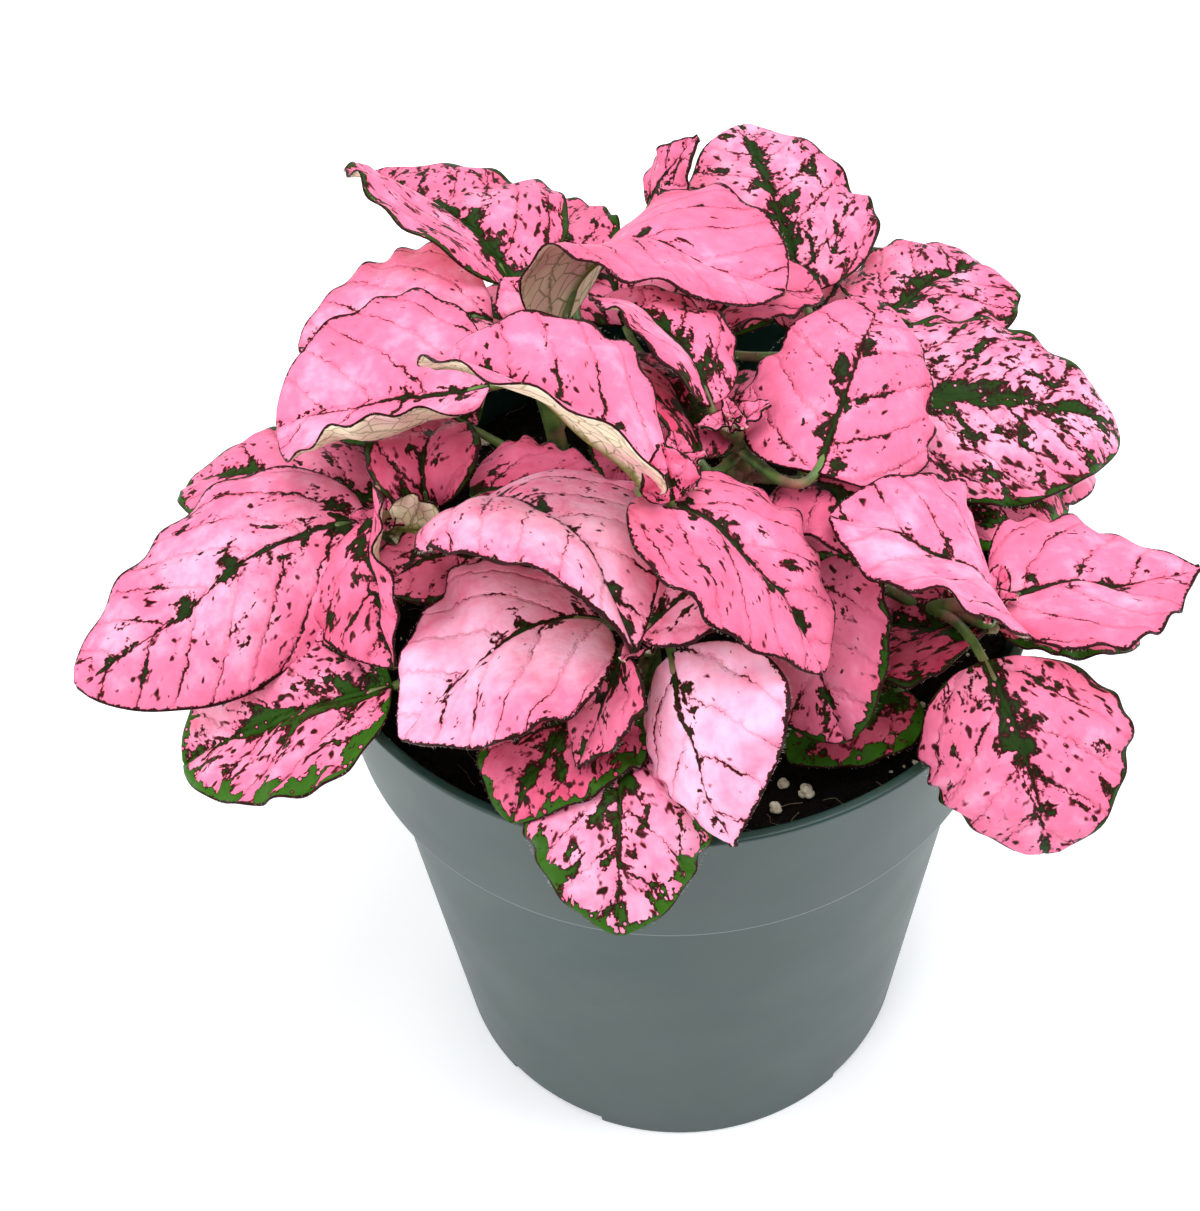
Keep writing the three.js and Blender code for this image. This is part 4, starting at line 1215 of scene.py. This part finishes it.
young_count = 0
for stem_number, (stem_name, stem) in enumerate(STEMS.items()):
    young = []
    for pair, (length, width, lean) in enumerate(YOUNG_PAIRS):
        for side in range(2):
            angle = math.radians(stem_number * STEM_TURN + pair * PAIR_TURN + side * 180)
            outward = math.sin(math.radians(lean))
            aim = np.array([math.cos(angle) * outward, math.sin(angle) * outward,
                            math.cos(math.radians(lean))])
            base = np.array(stem["crown"], float) + aim * YOUNG_START
            row = Leaf(base, base + aim * length, width, 0, *YOUNG_BEND, YOUNG_LOOK)
            young_count += 1
            young.append(leaf_parts(row, leaf_count + young_count, YOUNG_CELLS))
    bud = leaf_object(stem_name + "_young_leaves", young)
    fit(bud, leaf_tissue, "leaf", stem_name)
print("young leaves:", young_count)

# %% [markdown]
# ## Soil
# Potting soil is dark peat: small crumbs of every size, with pale root fibres and grains of
# white perlite. A bumpy surface alone would look like felt, since crumbs shade one another. So
# the solid stays as the bed, and a node tree scatters real crumbs over its top.

# %% Soil finish
PEAT_DARK = paint(13, 10, 9)
PEAT_BROWN = paint(27, 21, 17)
CLODS, SPECKS, SPECK_HEIGHT = (260, 5, 0.65), (1500, 2), 0.3


def soil_material():
    material, tree, shader, where, clod, _ = mottled_material(
        "peat", grain=CLODS, spread=(0.4, 0.75), tones=(PEAT_DARK, PEAT_BROWN),
        Roughness=0.95, Specular_IOR_Level=0.12)
    height = weigh(tree, clod, (noise(tree, where, *SPECKS), SPECK_HEIGHT))
    bump(tree, shader, height, distance=1.2 * MM, strength=1.0)
    return material


peat = soil_material()
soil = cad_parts["soil"]
soil.data.materials.clear()
soil.data.materials.append(peat)
print("soil:", peat.name, "on the solid")


# %% Scattering tree
SQUASH_LEAST, SQUASH_MOST = (0.6, 0.6, 0.5), (1.3, 1.0, 0.9)
GRAIN_BUMPS = 900.0


def scattering_tree():
    """Geometry Nodes: small rough grains strewn over the carrier's faces, every one different."""
    tree, source = new_tree("strewn_grains", Ground="Geometry", Density="Float", Smallest="Float",
                            Largest="Float", Roughness="Float", Seed="Int", Finish="Material")
    strewn = add(tree, "GeometryNodeDistributePointsOnFaces",
                 {"Mesh": source["Ground"], "Density": source["Density"], "Seed": source["Seed"]})
    grain = add(tree, "GeometryNodeMeshIcoSphere", {"Radius": 0.5, "Subdivisions": 1})
    # Small grains are more common than large ones, so the random number is squared.
    number = add(tree, "FunctionNodeRandomValue", {"Min": 0.0, "Max": 1.0, "Seed": 1},
                 data_type="FLOAT").outputs["Value"]
    range_of_sizes = calc(tree, "SUBTRACT", source["Largest"], source["Smallest"])
    size = calc(tree, "MULTIPLY", calc(tree, "MULTIPLY", number, number), range_of_sizes)
    size = calc(tree, "ADD", source["Smallest"], size)
    turned = add(tree, "FunctionNodeRandomValue",
                 {"Max": (math.tau, math.tau, math.tau), "Seed": 2}, data_type="FLOAT_VECTOR")
    rotation = add(tree, "FunctionNodeEulerToRotation", {"Euler": turned.outputs[0]})
    squash = add(tree, "FunctionNodeRandomValue",
                 {"Min": SQUASH_LEAST, "Max": SQUASH_MOST, "Seed": 3}, data_type="FLOAT_VECTOR")
    shape = add(tree, "ShaderNodeVectorMath",
                {"Vector": squash.outputs[0], "Scale": size}, operation="SCALE")
    placed = add(tree, "GeometryNodeInstanceOnPoints",
                 {"Points": strewn.outputs["Points"], "Instance": grain.outputs["Mesh"],
                  "Rotation": rotation.outputs[0], "Scale": shape.outputs[0]})
    real = add(tree, "GeometryNodeRealizeInstances", {"Geometry": placed.outputs[0]})
    position = add(tree, "GeometryNodeInputPosition").outputs[0]
    bumps = add(tree, "ShaderNodeTexNoise", {"Vector": position, "Scale": GRAIN_BUMPS, "Detail": 1.0})
    push = add(tree, "ShaderNodeVectorMath",
               {0: bumps.outputs["Color"], 1: (0.5, 0.5, 0.5)}, operation="SUBTRACT")
    push = add(tree, "ShaderNodeVectorMath",
               {"Vector": push.outputs[0], "Scale": source["Roughness"]}, operation="SCALE")
    rough = add(tree, "GeometryNodeSetPosition",
                {"Geometry": real.outputs[0], "Offset": push.outputs[0]})
    return finish_tree(tree, rough.outputs[0], source["Finish"])


# %% Soil crumbs
SOIL_BUMP = 1.1
BED_RADIUS, BED_RINGS, BED_SIDES, BED_SINK = 50.2, 14, 60, 0.35
CRUMBS = {"Density": 7.5e5, "Smallest": 0.4 * MM, "Largest": 2.0 * MM, "Roughness": 0.6 * MM, "Seed": 4}


def soil_height(x, y):
    """Height of the soil's uneven top at a place, in millimetres, as in the solid."""
    return SOIL_TOP + SOIL_BUMP * np.sin(0.17 * x + 1.3) * np.cos(0.21 * y - 0.6)


flat = [(0, 0)]
for ring in range(1, BED_RINGS + 1):
    radius = BED_RADIUS * ring / BED_RINGS
    for side in range(BED_SIDES):
        angle = math.tau * side / BED_SIDES
        flat.append((radius * math.cos(angle), radius * math.sin(angle)))
bed_points = [(x, y, soil_height(x, y) - BED_SINK) for x, y in flat]
bed_faces = [(0, 1 + side, 1 + (side + 1) % BED_SIDES) for side in range(BED_SIDES)]
for low in range(1, 1 + (BED_RINGS - 1) * BED_SIDES, BED_SIDES):
    for side in range(BED_SIDES):
        a, b = low + side, low + (side + 1) % BED_SIDES
        bed_faces.append((a, a + BED_SIDES, b + BED_SIDES, b))
bed = mesh_object("crumb_bed", np.array(bed_points) * MM, bed_faces)
grain_tree = scattering_tree()
crumbs = grow(bed, grain_tree, {**CRUMBS, "Finish": peat}, "soil_crumbs")
fit(crumbs, peat, "potting_soil")
print("soil crumbs:", len(crumbs.data.polygons), "faces")

# %% [markdown]
# Peat is full of fine roots and moss stems. Painted streaks would lie too flat between the
# crumbs, so each fibre is a short bent line, swept with the same tree as the stalks.

# %% Soil fibres
FIBRES, FIBRE_STEPS, FIBRE_RADIUS, FIBRE_SIDES = 110, 5, 0.055, 4
FIBRE_STRIDE, FIBRE_WANDER = (0.6, 1.5), 0.5
FIBRE_LIE, FIBRE_ARCH = 0.7, 0.9
FIBRE_START, FIBRE_LIMIT = BED_RADIUS * 0.97, BED_RADIUS * 0.98
FIBRE_BROWN = paint(84, 66, 48)
FIBRE_PALE = paint(140, 120, 90)

fibre_look = mottled_material("root_fibre", grain=(90, 2), spread=(0.42, 0.6),
                              tones=(FIBRE_BROWN, FIBRE_PALE), Roughness=0.8)[0]
chance = np.random.default_rng(5)
lines = []
for fibre in range(FIBRES):
    radius = FIBRE_START * math.sqrt(chance.uniform())
    angle, heading = chance.uniform(0, math.tau, size=2)
    x, y = radius * math.cos(angle), radius * math.sin(angle)
    stride = chance.uniform(*FIBRE_STRIDE)
    points = []
    for step in range(FIBRE_STEPS + 1):
        rise = FIBRE_LIE + FIBRE_ARCH * math.sin(math.pi * step / FIBRE_STEPS) * chance.uniform()
        points.append((x, y, soil_height(x, y) + rise))
        heading += chance.normal(scale=FIBRE_WANDER)
        x += stride * math.cos(heading)
        y += stride * math.sin(heading)
        if math.hypot(x, y) > FIBRE_LIMIT:
            heading += math.pi
            x, y = points[-1][:2]
    lines.append((points, np.full(len(points), FIBRE_RADIUS)))
fibres = swept_rods("soil_fibres", lines, FIBRE_SIDES, fibre_look)
fit(fibres, fibre_look, "potting_soil")
print("soil fibres:", len(fibres.data.polygons), "faces")

# %% [markdown]
# Perlite is puffed volcanic glass: white, light and full of pores. The larger grains are nodes
# of the frame, so each one gets a finer knobbly piece in its place. A noise could dent a ball,
# but swelling it towards a few random knobs gives the puffed look. A second strewing gives the
# small flecks between the crumbs.

# %% Perlite finish
PERLITE_WHITE = paint(240, 232, 214)
PERLITE_SHADE = paint(190, 176, 150)
PORES = (900, 4, 0.6)

perlite_grain, tree, shader, _, pores, _ = mottled_material(
    "perlite_grain", grain=PORES, spread=(0.35, 0.6), tones=(PERLITE_SHADE, PERLITE_WHITE),
    Roughness=0.85)
bump(tree, shader, pores, distance=0.3 * MM, strength=1.0)
print("perlite:", len(tree.nodes), "nodes in its material")

# %% Perlite grains
KNOBS, KNOB_DEPTH, KNOB_WIDTH = 9, 0.32, 4
GRAIN_DETAIL = 4

chance = np.random.default_rng(7)
grains = [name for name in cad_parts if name.startswith("perlite_")]
for name in grains:
    low, high = (np.array(corner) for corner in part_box(name))
    centre, reach = (low + high) / 2, (high - low) / 2
    work = bmesh.new()
    bmesh.ops.create_icosphere(work, subdivisions=GRAIN_DETAIL, radius=1)
    knobs = unit(chance.normal(size=(KNOBS, 3)))
    for vertex in work.verts:
        nearest = max(float(np.dot(knob, vertex.co)) for knob in knobs)
        rise = math.sqrt(max(0.0, 1 - (1 - nearest) * KNOB_WIDTH))
        swell = 1 - KNOB_DEPTH + KNOB_DEPTH * rise
        vertex.co = Vector(centre + np.array(vertex.co) * swell * reach)
    grain = in_scene(name + "_knobbly", bpy.data.meshes.new(name + "_knobbly"))
    work.to_mesh(grain.data)
    work.free()
    smooth(grain)
    fit(grain, perlite_grain, "perlite", name)
print("perlite grains:", len(grains))

# %% Perlite flecks
FLECKS = {"Density": 1.6e4, "Smallest": 0.5 * MM, "Largest": 1.7 * MM, "Roughness": 0.3 * MM, "Seed": 11}
FLECK_RISE = 1.0 * MM

flecks = grow(bed, grain_tree, {**FLECKS, "Finish": perlite_grain}, "perlite_flecks")
flecks.data.transform(Matrix.Translation((0, 0, FLECK_RISE)))
fit(flecks, perlite_grain, "perlite")
discard(bed)
print("perlite flecks:", len(flecks.data.polygons), "faces")
